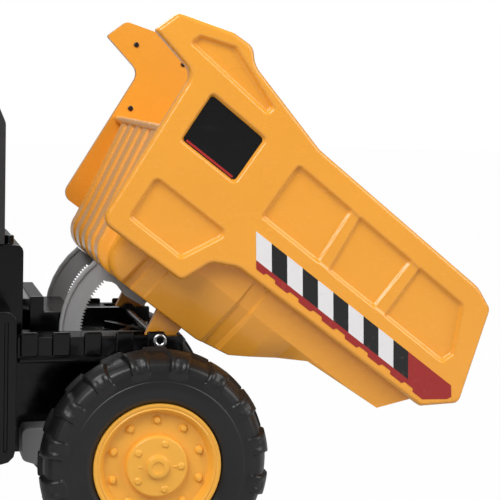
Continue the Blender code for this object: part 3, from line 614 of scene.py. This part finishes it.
class TipperWheels(bpy.types.PropertyGroup):
    lugs: bpy.props.IntProperty(name="Lugs", description="Shoulder lugs on each side of a tyre",
                                default=16, min=6)
    lug_height: length_setting("Lug height", "Height of a lug over the tread", 0.0060, 0.0)
    bolts: bpy.props.IntProperty(name="Bolts", description="Bolt heads round a hub", default=10, min=3)
    bolt_ring: length_setting("Bolt ring", "Radius of the ring of bolts", 0.065, 0.02)


class TipperStage(bpy.types.PropertyGroup):
    lens: bpy.props.FloatProperty(name="Lens", description="Focal length on a 36 mm sensor",
                                  default=118.8, min=20.0, unit="CAMERA")
    key: bpy.props.FloatProperty(name="Key light", description="Power of the large soft light",
                                 default=125.0, min=0.0, unit="POWER")
    sky: bpy.props.FloatProperty(name="Sky", description="Strength of the plain surrounding light",
                                 default=0.25, min=0.0)


# ---- dump bed

class TIPPER_OT_bed_sides(bpy.types.Operator):
    """Builds both outer panels of the bed with their moulded hollows"""
    bl_idname = "tipper.bed_sides"
    bl_label = "Bed sides"

    def execute(self, context):
        bed = context.scene.tipper_bed
        outline = rounded(BED_OUTLINE, BED_CORNERS, 6)
        shapes = [rounded(KIDNEY, 0.006), rounded(SQUARE, 0.008), rounded(LOW_FRONT, 0.010)]
        rear = rounded(REAR, 0.008)

        def hollows(points):
            for shape in shapes:
                yield hollow(points, shape, bed.slope), bed.depth
            sunk = hollow(points, rear, bed.slope)
            raised = sum(hollow(points, np.array(rib), 0.6 * bed.slope) for rib in RIBS)
            yield sunk * (1 - RIB_RISE * raised), bed.depth

        points, faces = relief(outline, bed.cell, PANEL_OUT, PANEL_IN, hollows, bed.edge)
        for side, sign in SIDES:
            publish("bed_side_" + side + "_moulding", (bed_side_place(points, sign), faces), "yellow",
                    "dump_bed", ("bed_side_" + side,), PANEL_SHARP)
        return {"FINISHED"}


class TIPPER_OT_bed_labels(bpy.types.Operator):
    """Builds the hazard strip, the plain black plate and a thin red bar along the plate's lower edge, a
    painted highlight, on each side of the bed
    """
    bl_idname = "tipper.bed_labels"
    bl_label = "Bed labels"

    def execute(self, context):
        teeth = []
        for start in np.arange(TOOTH_FIRST, TOOTH_LAST, -TOOTH_PITCH):
            teeth += [(start, RED_LOW), (start - TOOTH_SLOPE, RED_LOW + TOOTH_RISE),
                      (start - (TOOTH_WIDTH - TOOTH_SLOPE), RED_LOW + TOOTH_RISE),
                      (start - TOOTH_WIDTH, RED_LOW)]
        strip = [(STRIP_FRONT, STRIP_TOP), *STRIP_TAIL, *teeth,
                 (STRIP_FRONT + (STRIP_TOP - RED_LOW) * STRIPE_SLANT, RED_LOW)]
        plate = rounded(PLATE, 0.0065, 5)
        # bar: the red slab along the plate's lower edge, a painted highlight
        bar = rounded(PLATE_HIGHLIGHT_BAR, 0.0012, 3)
        floor = PANEL_OUT - context.scene.tipper_bed.depth
        for side, sign in SIDES:
            for name, outline, low, high, finish, bevel in (
                    ("hazard_strip_", strip, PANEL_OUT - 0.0004, PANEL_OUT + 0.0005, "hazard", 0.0),
                    ("badge_plate_", plate, floor - 0.001, floor + 0.0020, "plate", 0.0006),
                    ("badge_bar_", bar, floor + 0.0018, floor + 0.0026, "red", 0.0)):
                points, faces = prism(outline, low, high)
                publish(name + side, (bed_side_place(points, sign), faces), finish, "dump_bed",
                        plane=points[:, :2], bevel=bevel)
        return {"FINISHED"}


class TIPPER_OT_bed_hopper(bpy.types.Operator):
    """Builds the hopper, ramp and chute as one channel with creased side walls"""
    bl_idname = "tipper.bed_hopper"
    bl_label = "Bed hopper"

    def execute(self, context):
        u = np.linspace(FLOOR_U[0], FLOOR_U[-1], 320)
        floor = np.interp(u, FLOOR_U, FLOOR_V)
        last = smooth_step((u - TAIL_U) / (FLOOR_U[-1] - TAIL_U))

        # the half width grows in line with the floor's height, and shrinks in the sunk facets
        def creases(shift):
            return sum(smooth_step((u - start + shift * slant) / CREASE_SOFT)
                       * smooth_step((end - u - shift * slant) / CREASE_SOFT)
                       for start, end, slant in CREASES)

        half = HOPPER_HALF + HOPPER_SPREAD * np.clip((floor - FLOOR_V[0]) / HOPPER_RISE, 0, 1)
        half = half - CREASE_DEPTH * creases(1.0) - np.interp(u, FACET_U, FACET_DEPTH)
        edge_v = np.maximum(EDGE_V, floor + 0.0008)
        edge_y = EDGE_Y - CREASE_DEPTH * creases(0.0)
        across = np.stack([np.full_like(u, WALL_HALF), edge_y, half, half * 0.5], axis=1)
        upward = np.stack([np.full_like(u, HOPPER_TOP), edge_v, floor, floor], axis=1)
        outer = np.stack([across, upward], axis=-1)
        inner = outer + WALL_T * np.array([[-1.0, 0.0], [-1.0, 0.5], [-0.6, 1.0], [0.0, 1.0]])
        sides = [eased(path, 0.035) for path in (outer, inner)]
        outside, inside = (np.concatenate([path * (-1, 1), path[:, ::-1]], axis=1) for path in sides)
        section = np.concatenate([outside, inside[:, ::-1]], axis=1)
        rise = np.clip((section[..., 1] - edge_v[:, None]) / EDGE_DROP, 0, 1)
        lean = rise * TAIL_LEAN * last[:, None]
        loops = bed_place(u[:, None] + lean, section[..., 0], section[..., 1])
        publish("bed_hopper_moulding", loft(loops), "yellow", "dump_bed", ("bed_hopper",), 24.0)
        return {"FINISHED"}


class TIPPER_OT_bed_front_wall(bpy.types.Operator):
    """Builds the corrugated front wall with its lip and curled foot"""
    bl_idname = "tipper.bed_front_wall"
    bl_label = "Bed front wall"

    def execute(self, context):
        # the face is WALL_U less RIB_DEPTH times the smooth steps of the ribs; the foot is a quarter circle
        y = np.linspace(-WALL_HALF, WALL_HALF, 281)
        wave = np.zeros_like(y)
        for k in range(-2, 3):
            wave += smooth_step((RIB_HALF + RIB_FOOT - np.abs(y - k * RIB_PITCH)) / RIB_SLOPE)
        outward = smooth_step((np.abs(y) - HOPPER_HALF) / (WALL_HALF - HOPPER_HALF))
        low = WALL_LOW + (WALL_SIDE_LOW - WALL_LOW) * outward
        front = WALL_U - RIB_DEPTH * wave
        foot = FLOOR_U[0] - FIT
        bend = np.radians(np.linspace(0, 90, 9))[None, :]
        rise = np.linspace(0, 1, 12)[None, :]
        face_v = LIP_LOW + (low + WALL_BEND - LIP_LOW)[:, None] * rise
        face_u = front[:, None] - WALL_LEAN * (1 - rise)
        curl_u = front[:, None] + WALL_BEND * (1 - np.cos(bend))
        curl_v = low[:, None] + WALL_BEND * (1 - np.sin(bend))
        inner_bend = WALL_BEND - WALL_T
        back_u = WALL_U + WALL_BEND - inner_bend * np.cos(bend[:, ::-1])
        back_v = low[:, None] + WALL_BEND - inner_bend * np.sin(bend[:, ::-1])

        def column(value):
            return np.full((len(y), 1), value)

        us = [column(WALL_U + WALL_T - WALL_LEAN), column(LIP_U + 0.003), column(LIP_U), column(LIP_U),
              column(LIP_U + 0.003), face_u, curl_u, column(foot), column(foot),
              np.broadcast_to(back_u, curl_u.shape)]
        vs = [column(LIP_HIGH), column(LIP_HIGH), column(LIP_HIGH - 0.003), column(LIP_LOW + 0.002),
              column(LIP_LOW), face_v, curl_v, low[:, None], low[:, None] + WALL_T, back_v]
        u, v = np.concatenate(us, axis=1), np.concatenate(vs, axis=1)
        publish("bed_front_wall_moulding", loft(bed_place(u, y[:, None], v)), "yellow", "dump_bed",
                ("bed_front_wall",), 75.0)
        return {"FINISHED"}


class TIPPER_OT_bed_fittings(bpy.types.Operator):
    """Finishes the inner skins and hinge legs and adds the skins' screws"""
    bl_idname = "tipper.bed_fittings"
    bl_label = "Bed fittings"

    def execute(self, context):
        skin = y_span("bed_inner_skin_right")[0]
        head, faces = turned(SCREW_R, SCREW_Y, 20)
        for side, sign in SIDES:
            softened("bed_inner_skin_" + side, "yellow", 0.0008)
            softened("hinge_leg_" + side, "yellow", 0.0015)
            screws = [bed_place(head[:, 0] + u, sign * (skin - head[:, 1]), head[:, 2] + v)
                      for u, v in SKIN_SCREWS]
            publish("skin_screws_" + side, repeated(screws, faces), "painted", "dump_bed")
        return {"FINISHED"}


class TIPPER_OT_tip_arcs(bpy.types.Operator):
    """Finishes the toothed arcs, the pinions, their shaft, gearbox and motor"""
    bl_idname = "tipper.tip_arcs"
    bl_label = "Tipping arcs"

    def execute(self, context):
        for side, sign in SIDES:
            softened("tip_arc_" + side, "grey", 0.0004, 50.0)
            dress("tip_pinion_" + side, "grey")
        dress("tip_shaft", "steel")
        softened("tip_gearbox", "grey", 0.003)
        softened("tip_motor", "steel", 0.002)
        return {"FINISHED"}


# ---- chassis

class TIPPER_OT_chassis(bpy.types.Operator):
    """Finishes the frame, deck, rails, fairings, housings and axles"""
    bl_idname = "tipper.chassis"
    bl_label = "Chassis"

    def execute(self, context):
        for node in ("chassis_frame", "deck_plate"):
            softened(node, "black", 0.0015)
        softened("front_axle_beam", "painted", 0.001)
        softened("battery", "battery", 0.004)
        for side, sign in SIDES:
            softened("side_rail_" + side, "black", 0.0012)
            softened("side_step_" + side, "black", 0.004)
            softened("drive_gearbox_" + side, "grey", 0.004)
            softened("knuckle_" + side, "steel", 0.0008)
        softened("tie_rod", "steel", 0.0008)
        for node in ("hinge_rod", "rear_axle"):
            dress(node, "steel")
        return {"FINISHED"}


class TIPPER_OT_rail_pads(bpy.types.Operator):
    """Builds the raised pads along the outer face of each rail and the band under them"""
    bl_idname = "tipper.rail_pads"
    bl_label = "Rail pads"

    def execute(self, context):
        low, high = corners_of("side_rail_right")
        pitch, gap, rise, edge, inset = 0.0455, 0.0195, 0.0024, 0.0022, 0.0008
        first = low[0] + 0.029 - pitch + gap
        top, foot = high[2] + 0.0006, low[2] + 0.0085

        shapes = []
        for k in range(5):
            start = max(first + k * pitch, low[0] + 0.001)
            end = min(first + k * pitch + pitch - gap, high[0] - 0.001)
            outline = rounded([(start, foot), (start, top), (end, top), (end, foot)], 0.0030, 4)
            shapes.append(relief(outline, 0.0011, high[1] + rise, high[1] - inset, lambda points: (), edge))
        band_low, band_high = low[2] - 0.001, foot - 0.0008
        band = rounded([(low[0], band_low), (low[0], band_high), (high[0], band_high),
                        (high[0], band_low)], 0.0020, 3)
        shapes.append(relief(band, 0.0016, high[1] + rise * 0.8, high[1] - inset, lambda points: (), edge))
        for side, sign in SIDES:
            for k, (points, faces) in enumerate(shapes):
                placed = points[:, [0, 2, 1]] * (1, sign, 1)
                publish(f"rail_pad_{side}_{k}", (placed, faces), "black", "chassis", sharp=PANEL_SHARP)
        return {"FINISHED"}


class TIPPER_OT_hinge_nuts(bpy.types.Operator):
    """Builds the round push-on nuts at both ends of the tipping rod"""
    bl_idname = "tipper.hinge_nuts"
    bl_label = "Hinge nuts"

    def execute(self, context):
        low, high = y_span("hinge_nut_right")
        outer = radius_of("hinge_nut_right")
        bore = 0.0053
        r = (bore, bore, bore + 0.0008, outer - 0.0022, outer - 0.0010, outer, outer)
        y = (low, high - 0.0012, high - 0.0006, high, high - 0.0004, high - 0.0016, low)
        points, faces = turned(r, y, 48)
        for side, sign in SIDES:
            placed = points * (1, sign, 1) + (HINGE[0], 0, HINGE[2])
            publish("hinge_nut_" + side + "_ring", (placed, faces), "steel", "chassis",
                    ("hinge_nut_" + side,))
        return {"FINISHED"}


# ---- wheels

def tyre_shape(wheels):
    """Tread and shoulders: a closed section turned round the axle. The section's outer half runs
    through crown, shoulder, side wall and bead; a lug lifts it where the angle lies within a lug's
    half width and the station lies on the shoulder; its foot is round and its face a little dished."""
    middle = (TYRE_IN + TYRE_OUT) / 2
    half = (TYRE_OUT - TYRE_IN) / 2
    crown = TYRE_R - wheels.lug_height
    r = np.array([crown, crown - 0.0004, crown - 0.002, crown - 0.006, 0.147, 0.136, 0.124, 0.1225,
                  0.112, 0.100, RIM_R + 0.003, RIM_R + FIT])
    w = np.array([0.0, 0.010, 0.020, 0.029, 0.0360, 0.0390, 0.0402, 0.0412,
                  half, half - 0.001, half - 0.006, half - 0.010])
    knots = np.arange(len(r))
    t = np.linspace(0, len(r) - 1, 56)
    section_r, section_w = (np.interp(t, knots, values) for values in (r, w))
    kernel = np.array([0.25, 0.5, 0.25])
    for values in (section_r, section_w):
        values[1:-1] = np.convolve(values, kernel, "valid")
    steps = wheels.lugs * 28
    angle = np.arange(steps)[:, None] / steps * wheels.lugs

    def flank(shift, sign):
        across = np.abs((angle + shift) % 1.0 - 0.5)
        foot = 0.1290 + 0.055 * across ** 2
        shoulder = smooth_step((section_w - 0.0035) / 0.003) * smooth_step((section_r - foot) / 0.0035)
        width = 0.25 + 0.06 * smooth_step((0.030 - section_w) / 0.020)
        block = smooth_step((width - across) / 0.045)
        dish = smooth_step((0.11 - across) / 0.05) * smooth_step((section_w - 0.0300) / 0.004)
        lift = shoulder * block * (1 - 0.35 * dish)
        step_w, step_r = np.gradient(section_w), np.gradient(section_r)
        slope = step_w / np.maximum(np.hypot(step_w, step_r), 1e-9)
        radial = np.clip(slope, 0.0, 1.0)
        sideways = np.sqrt(1 - radial ** 2)
        radius = section_r + lift * wheels.lug_height * radial
        reach = np.minimum(section_w + lift * 0.0050 * sideways, half)
        return radius, middle + sign * reach

    out_r, out_y = flank(0.0, 1.0)
    in_r, in_y = flank(0.5, -1.0)
    seam = 0.0008
    ring = np.ones((steps, 1))
    radius = np.concatenate([ring * (crown + seam), out_r[:, 1:], in_r[:, :0:-1]], axis=1)
    height = np.concatenate([ring * middle, out_y[:, 1:], in_y[:, :0:-1]], axis=1)
    return turned(np.minimum(radius, TYRE_R), height, steps)


def dots(angle, radius, count, ring, size, soft, offset=0.0):
    """1 inside each of count round spots on a ring and 0 outside: the smooth step of the distance to
    the nearest spot's centre, by the cosine rule."""
    turn = (angle / (2 * math.pi) * count + offset) % 1.0 - 0.5
    turn = turn * 2 * math.pi / count
    reach = np.sqrt(np.maximum(radius ** 2 + ring ** 2 - 2 * radius * ring * np.cos(turn), 0.0))
    return smooth_step((size - reach) / soft)


def hub_shape(wheels):
    """A profile of disc, sloping wall, groove, lip and plain back turned round the axle; the disc's
    height is raised by the bolts' dots and sunk round them."""
    back, face = y_span("rear_right_hub")
    bore = 0.0068
    disc, disc_r, rings = face - 0.015, 0.0745, 62
    lip_r = [0.0765, 0.0800, 0.0815, 0.0830, 0.0840, 0.0850, 0.0860, 0.0875, 0.0890, RIM_R - 0.0004, RIM_R]
    lip_y = [disc + 0.004, face - 0.003, face - 0.001, face - 0.0003, face - 0.0012, face - 0.0014,
             face - 0.0006, face, face, face - 0.0006, face - 0.002]
    r = np.concatenate([np.linspace(bore, disc_r, rings), lip_r])
    y = np.concatenate([np.full(rings, disc), lip_y])
    steps = 360
    angle = np.arange(steps)[:, None] * 2 * math.pi / steps
    share = 0.5 + wheels.bolts / 4.0
    bolt, seat = (dots(angle, r, wheels.bolts, wheels.bolt_ring, size, soft, share)
                  for size, soft in ((0.0066, 0.0034), (0.0084, 0.0012)))
    y = y + (r < disc_r) * (0.0052 * bolt - 0.0006 * (seat - bolt))
    rear_r = (RIM_R, 0.083, 0.083, 0.022, 0.020, bore)
    rear_y = (back + 0.010, back + 0.010, disc - 0.013, disc - 0.013, back, back)
    rear = (steps, len(rear_r))
    radius = np.concatenate([np.broadcast_to(r, (steps, len(r))), np.broadcast_to(rear_r, rear)], axis=1)
    height = np.concatenate([y, np.broadcast_to(rear_y, rear)], axis=1)
    return turned(radius, height, steps)


def cap_shape():
    """A profile of ringed centre, sloping face, chamfer and skirt turned round the axle; the face is
    raised by five dots and by two bars, each a product of smooth steps."""
    low, high = y_span("rear_right_cap")
    outer = radius_of("rear_right_cap")
    r = np.concatenate([[0.0, 0.004, 0.0078, 0.0082, 0.0090, 0.0150, 0.0160, 0.0166, 0.0180],
                        np.linspace(0.0195, outer - 0.0035, 24),
                        [outer - 0.0020, outer - 0.0008, outer, outer, 0.0]])
    face = high - 0.0060
    y = np.concatenate([[high - 0.0018, high - 0.0018, high - 0.0014, high - 0.0003, high, high - 0.0003,
                         high - 0.0012, face + 0.0010, face],
                        np.linspace(face, face - 0.0008, 24),
                        [face - 0.0014, face - 0.0030, face - 0.0050, low, low]])
    steps = 180
    angle = np.arange(steps)[:, None] * 2 * math.pi / steps
    boss = dots(angle, r, 5, 0.034, 0.0052, 0.0014, 0.5)
    bar_x, bar_z = np.abs(r * np.cos(angle)), np.abs(r * np.sin(angle))
    bar = smooth_step((0.0016 - bar_z) / 0.001) * smooth_step((0.0035 - np.abs(bar_x - 0.0245)) / 0.0015)
    y = y + boss * 0.0022 + bar * 0.0010
    return turned(np.broadcast_to(r, y.shape), np.minimum(y, high), steps)


class TIPPER_OT_wheels(bpy.types.Operator):
    """Builds the tyre, hub and cap of all four wheels"""
    bl_idname = "tipper.wheels"
    bl_label = "Wheels"

    def execute(self, context):
        wheels = context.scene.tipper_wheels
        parts = (("tyre", tyre_shape(wheels), "tyre", 60.0), ("hub", hub_shape(wheels), "hub", 40.0),
                 ("cap", cap_shape(), "hub", 40.0))
        for end in ("rear", "front"):
            for side, sign in SIDES:
                name = end + "_" + side + "_"
                centre = middle_of(name + "tyre") * (1, 0, 1)
                for part, (points, faces), finish, sharp in parts:
                    placed = points * (1, sign, 1) + centre
                    publish(name + part + "_moulding", (placed, faces), finish, "wheel_" + name[:-1],
                            (name + part,), sharp)
        return {"FINISHED"}


# ---- seat and cab

class TIPPER_OT_seat(bpy.types.Operator):
    """Finishes the seat's pan and back, its base and the box behind them"""
    bl_idname = "tipper.seat"
    bl_label = "Seat"

    def execute(self, context):
        for node in ("seat_base", "seat_box"):
            softened(node, "black", 0.003)
        softened("seat_pan", "seat", 0.005)
        softened("seat_back", "seat", 0.006)
        return {"FINISHED"}


class TIPPER_OT_cab_front(bpy.types.Operator):
    """Finishes the engine cover, grille, bumper, lamps and dashboard"""
    bl_idname = "tipper.cab_front"
    bl_label = "Cab front"

    def execute(self, context):
        softened("hood", "yellow", 0.003)
        softened("grille", "black", 0.0015)
        softened("bumper", "black", 0.004)
        softened("dashboard", "black", 0.003)
        for side, sign in SIDES:
            node = "lamp_lens_" + side
            low, high = corners_of(node)
            centre, radius = middle_of(node), radius_of(node)
            r = np.linspace(0.0, radius, 24)     # the dome is a parabola of r with fine cosine rings
            dome = low[0] + 0.0002 + 0.0022 * (r / radius) ** 2 + 0.0004 * np.cos(r / radius * 24.0)
            dome = np.maximum(dome, low[0])
            points, faces = turned(np.concatenate([r, [radius, 0.0]]),
                                   np.concatenate([dome, [high[0], high[0]]]), 64)
            placed = points[:, [1, 0, 2]] + (0.0, centre[1], centre[2])
            publish(node + "_dome", (placed, faces), "lens", "chassis", (node,))
        return {"FINISHED"}


class TIPPER_OT_controls(bpy.types.Operator):
    """Finishes the steering wheel, its rod and the controls"""
    bl_idname = "tipper.controls"
    bl_label = "Controls"

    def execute(self, context):
        softened("steering_wheel", "black", 0.0012, 60.0)
        dress("steering_rod", "steel")
        softened("horn_button", "red", 0.0012)
        softened("tip_switch", "red", 0.0008)
        for node in ("pedal", "direction_lever"):
            softened(node, "black", 0.0012)
        return {"FINISHED"}


# ---- stage

CAMERA_AT = (-0.21974, -2.50338, 0.71390)
CAMERA_YAW, CAMERA_DIP, CAMERA_ROLL = 13.0865, 5.984, 1.5
LAMPS = (                              # name, place, size and share of the key light's power
    ("key", (-1.6, -2.4, 3.2), 2.4, 1.0), ("fill", (2.6, -1.6, 1.8), 2.0, 0.35),
    ("rear", (0.4, 2.6, 2.6), 2.4, 0.45),
)
LAMPS_AIM = np.array([0.0, 0.0, 0.4])
WHITE = (1.0, 1.0, 1.0, 1.0)


def camera_axes():
    """The camera's right, up and back directions from its yaw, dip and roll in degrees."""
    yaw, dip, roll = (math.radians(a) for a in (CAMERA_YAW, CAMERA_DIP, CAMERA_ROLL))
    forward = np.array([math.sin(yaw) * math.cos(dip), math.cos(yaw) * math.cos(dip), -math.sin(dip)])
    right = np.array([math.cos(yaw), -math.sin(yaw), 0.0])
    up = -np.cross(forward, right)
    return (math.cos(roll) * right + math.sin(roll) * up,
            -math.sin(roll) * right + math.cos(roll) * up, -forward)


def stand(thing, axes, place):
    """Puts a camera or lamp in the scene, with its right, up and back directions and its place."""
    bpy.context.scene.collection.objects.link(thing)
    columns = np.eye(4)
    columns[:3, :3] = np.column_stack(axes)
    columns[:3, 3] = place
    thing.matrix_world = Matrix(columns.tolist())


class TIPPER_OT_stage(bpy.types.Operator):
    """Builds the floor, the plain light and the camera"""
    bl_idname = "tipper.stage"
    bl_label = "Stage"

    def execute(self, context):
        scene = context.scene
        settings = scene.tipper_stage
        scene.view_settings.view_transform = "Standard"
        self.floor()
        self.world(scene, settings.sky)
        for name, place, size, share in LAMPS:
            self.lamp(name, np.array(place), size, settings.key * share)
        camera = bpy.data.cameras.new("camera")
        camera.lens = settings.lens
        camera.clip_end = 50.0
        thing = bpy.data.objects.new("camera", camera)
        stand(thing, camera_axes(), CAMERA_AT)
        scene.camera = thing
        return {"FINISHED"}

    def floor(self):
        size, drop = 14.0, -0.0005
        mesh = bpy.data.meshes.new("floor")
        corners = [(-size, -size, drop), (size, -size, drop), (size, size, drop), (-size, size, drop)]
        mesh.from_pydata(corners, [], [(0, 1, 2, 3)])
        thing = bpy.data.objects.new("floor", mesh)
        bpy.context.scene.collection.objects.link(thing)
        finish = Finish("floor_white")
        base = finish.blend(finish.noise(2.0), (0.44, 0.44, 0.44, 1.0), (0.48, 0.48, 0.48, 1.0))
        finish.surface(Base_Color=base, Roughness=0.8)
        rays = finish.node("ShaderNodeLightPath").outputs
        direct, mirrored = Value(finish, rays["Is Camera Ray"]), Value(finish, rays["Is Glossy Ray"])
        seen = (direct * 0.985 + mirrored * 0.3).held()
        glow = finish.node("ShaderNodeEmission", {}, {"Color": WHITE, "Strength": 1.0})
        mix = finish.node("ShaderNodeMixShader", {},
                          {0: seen, 1: finish.shader.outputs[0], 2: glow.outputs[0]})
        finish.join(finish.tree.nodes["Material Output"].inputs["Surface"], mix.outputs[0])
        mesh.materials.append(finish.material)

    def world(self, scene, strength):
        world = scene.world or bpy.data.worlds.new("world")
        scene.world = world
        world.use_nodes = True
        tree = world.node_tree
        tree.nodes.clear()
        plain = tree.nodes.new("ShaderNodeBackground")
        plain.inputs["Strength"].default_value = strength
        seen = tree.nodes.new("ShaderNodeBackground")
        for sky in (plain, seen):
            sky.inputs["Color"].default_value = WHITE
        rays = tree.nodes.new("ShaderNodeLightPath")
        mix = tree.nodes.new("ShaderNodeMixShader")
        end = tree.nodes.new("ShaderNodeOutputWorld")
        tree.links.new(rays.outputs["Is Camera Ray"], mix.inputs[0])
        tree.links.new(plain.outputs[0], mix.inputs[1])
        tree.links.new(seen.outputs[0], mix.inputs[2])
        tree.links.new(mix.outputs[0], end.inputs["Surface"])

    def lamp(self, name, place, size, power):
        light = bpy.data.lights.new(name, "AREA")
        light.energy = power
        light.size = size
        back = place - LAMPS_AIM
        back /= np.linalg.norm(back)
        right = np.cross((0.0, 0.0, 1.0), back)
        right /= np.linalg.norm(right)
        stand(bpy.data.objects.new(name, light), (right, np.cross(back, right), back), place)


OPERATORS = (
    TIPPER_OT_bed_sides, TIPPER_OT_bed_labels, TIPPER_OT_bed_hopper, TIPPER_OT_bed_front_wall,
    TIPPER_OT_bed_fittings, TIPPER_OT_tip_arcs, TIPPER_OT_chassis, TIPPER_OT_rail_pads,
    TIPPER_OT_hinge_nuts, TIPPER_OT_wheels, TIPPER_OT_seat, TIPPER_OT_cab_front, TIPPER_OT_controls,
    TIPPER_OT_stage,
)
GROUPS = (("tipper_colours", TipperColours), ("tipper_bed", TipperBed), ("tipper_wheels", TipperWheels),
          ("tipper_stage", TipperStage))


class TIPPER_PT_sidebar(bpy.types.Panel):
    """Lists the settings and the pieces"""
    bl_idname = "TIPPER_PT_sidebar"
    bl_label = "Tipper truck"
    bl_space_type = "VIEW_3D"
    bl_region_type = "UI"
    bl_category = "Tipper"

    def draw(self, context):
        for name, group in GROUPS:
            box = self.layout.box()
            for key in group.__annotations__:
                box.prop(getattr(context.scene, name), key)
        for operator in OPERATORS:
            self.layout.operator(operator.bl_idname)


def register():
    for name, group in GROUPS:
        bpy.utils.register_class(group)
        setattr(bpy.types.Scene, name, bpy.props.PointerProperty(type=group))
    for item in (*OPERATORS, TIPPER_PT_sidebar):
        bpy.utils.register_class(item)


def unregister():
    for item in (TIPPER_PT_sidebar, *reversed(OPERATORS)):
        bpy.utils.unregister_class(item)
    for name, group in reversed(GROUPS):
        delattr(bpy.types.Scene, name)
        bpy.utils.unregister_class(group)


def main():
    register()
    for operator in OPERATORS:
        family, name = operator.bl_idname.split(".")
        getattr(getattr(bpy.ops, family), name)()


if __name__ == "__main__":
    main()
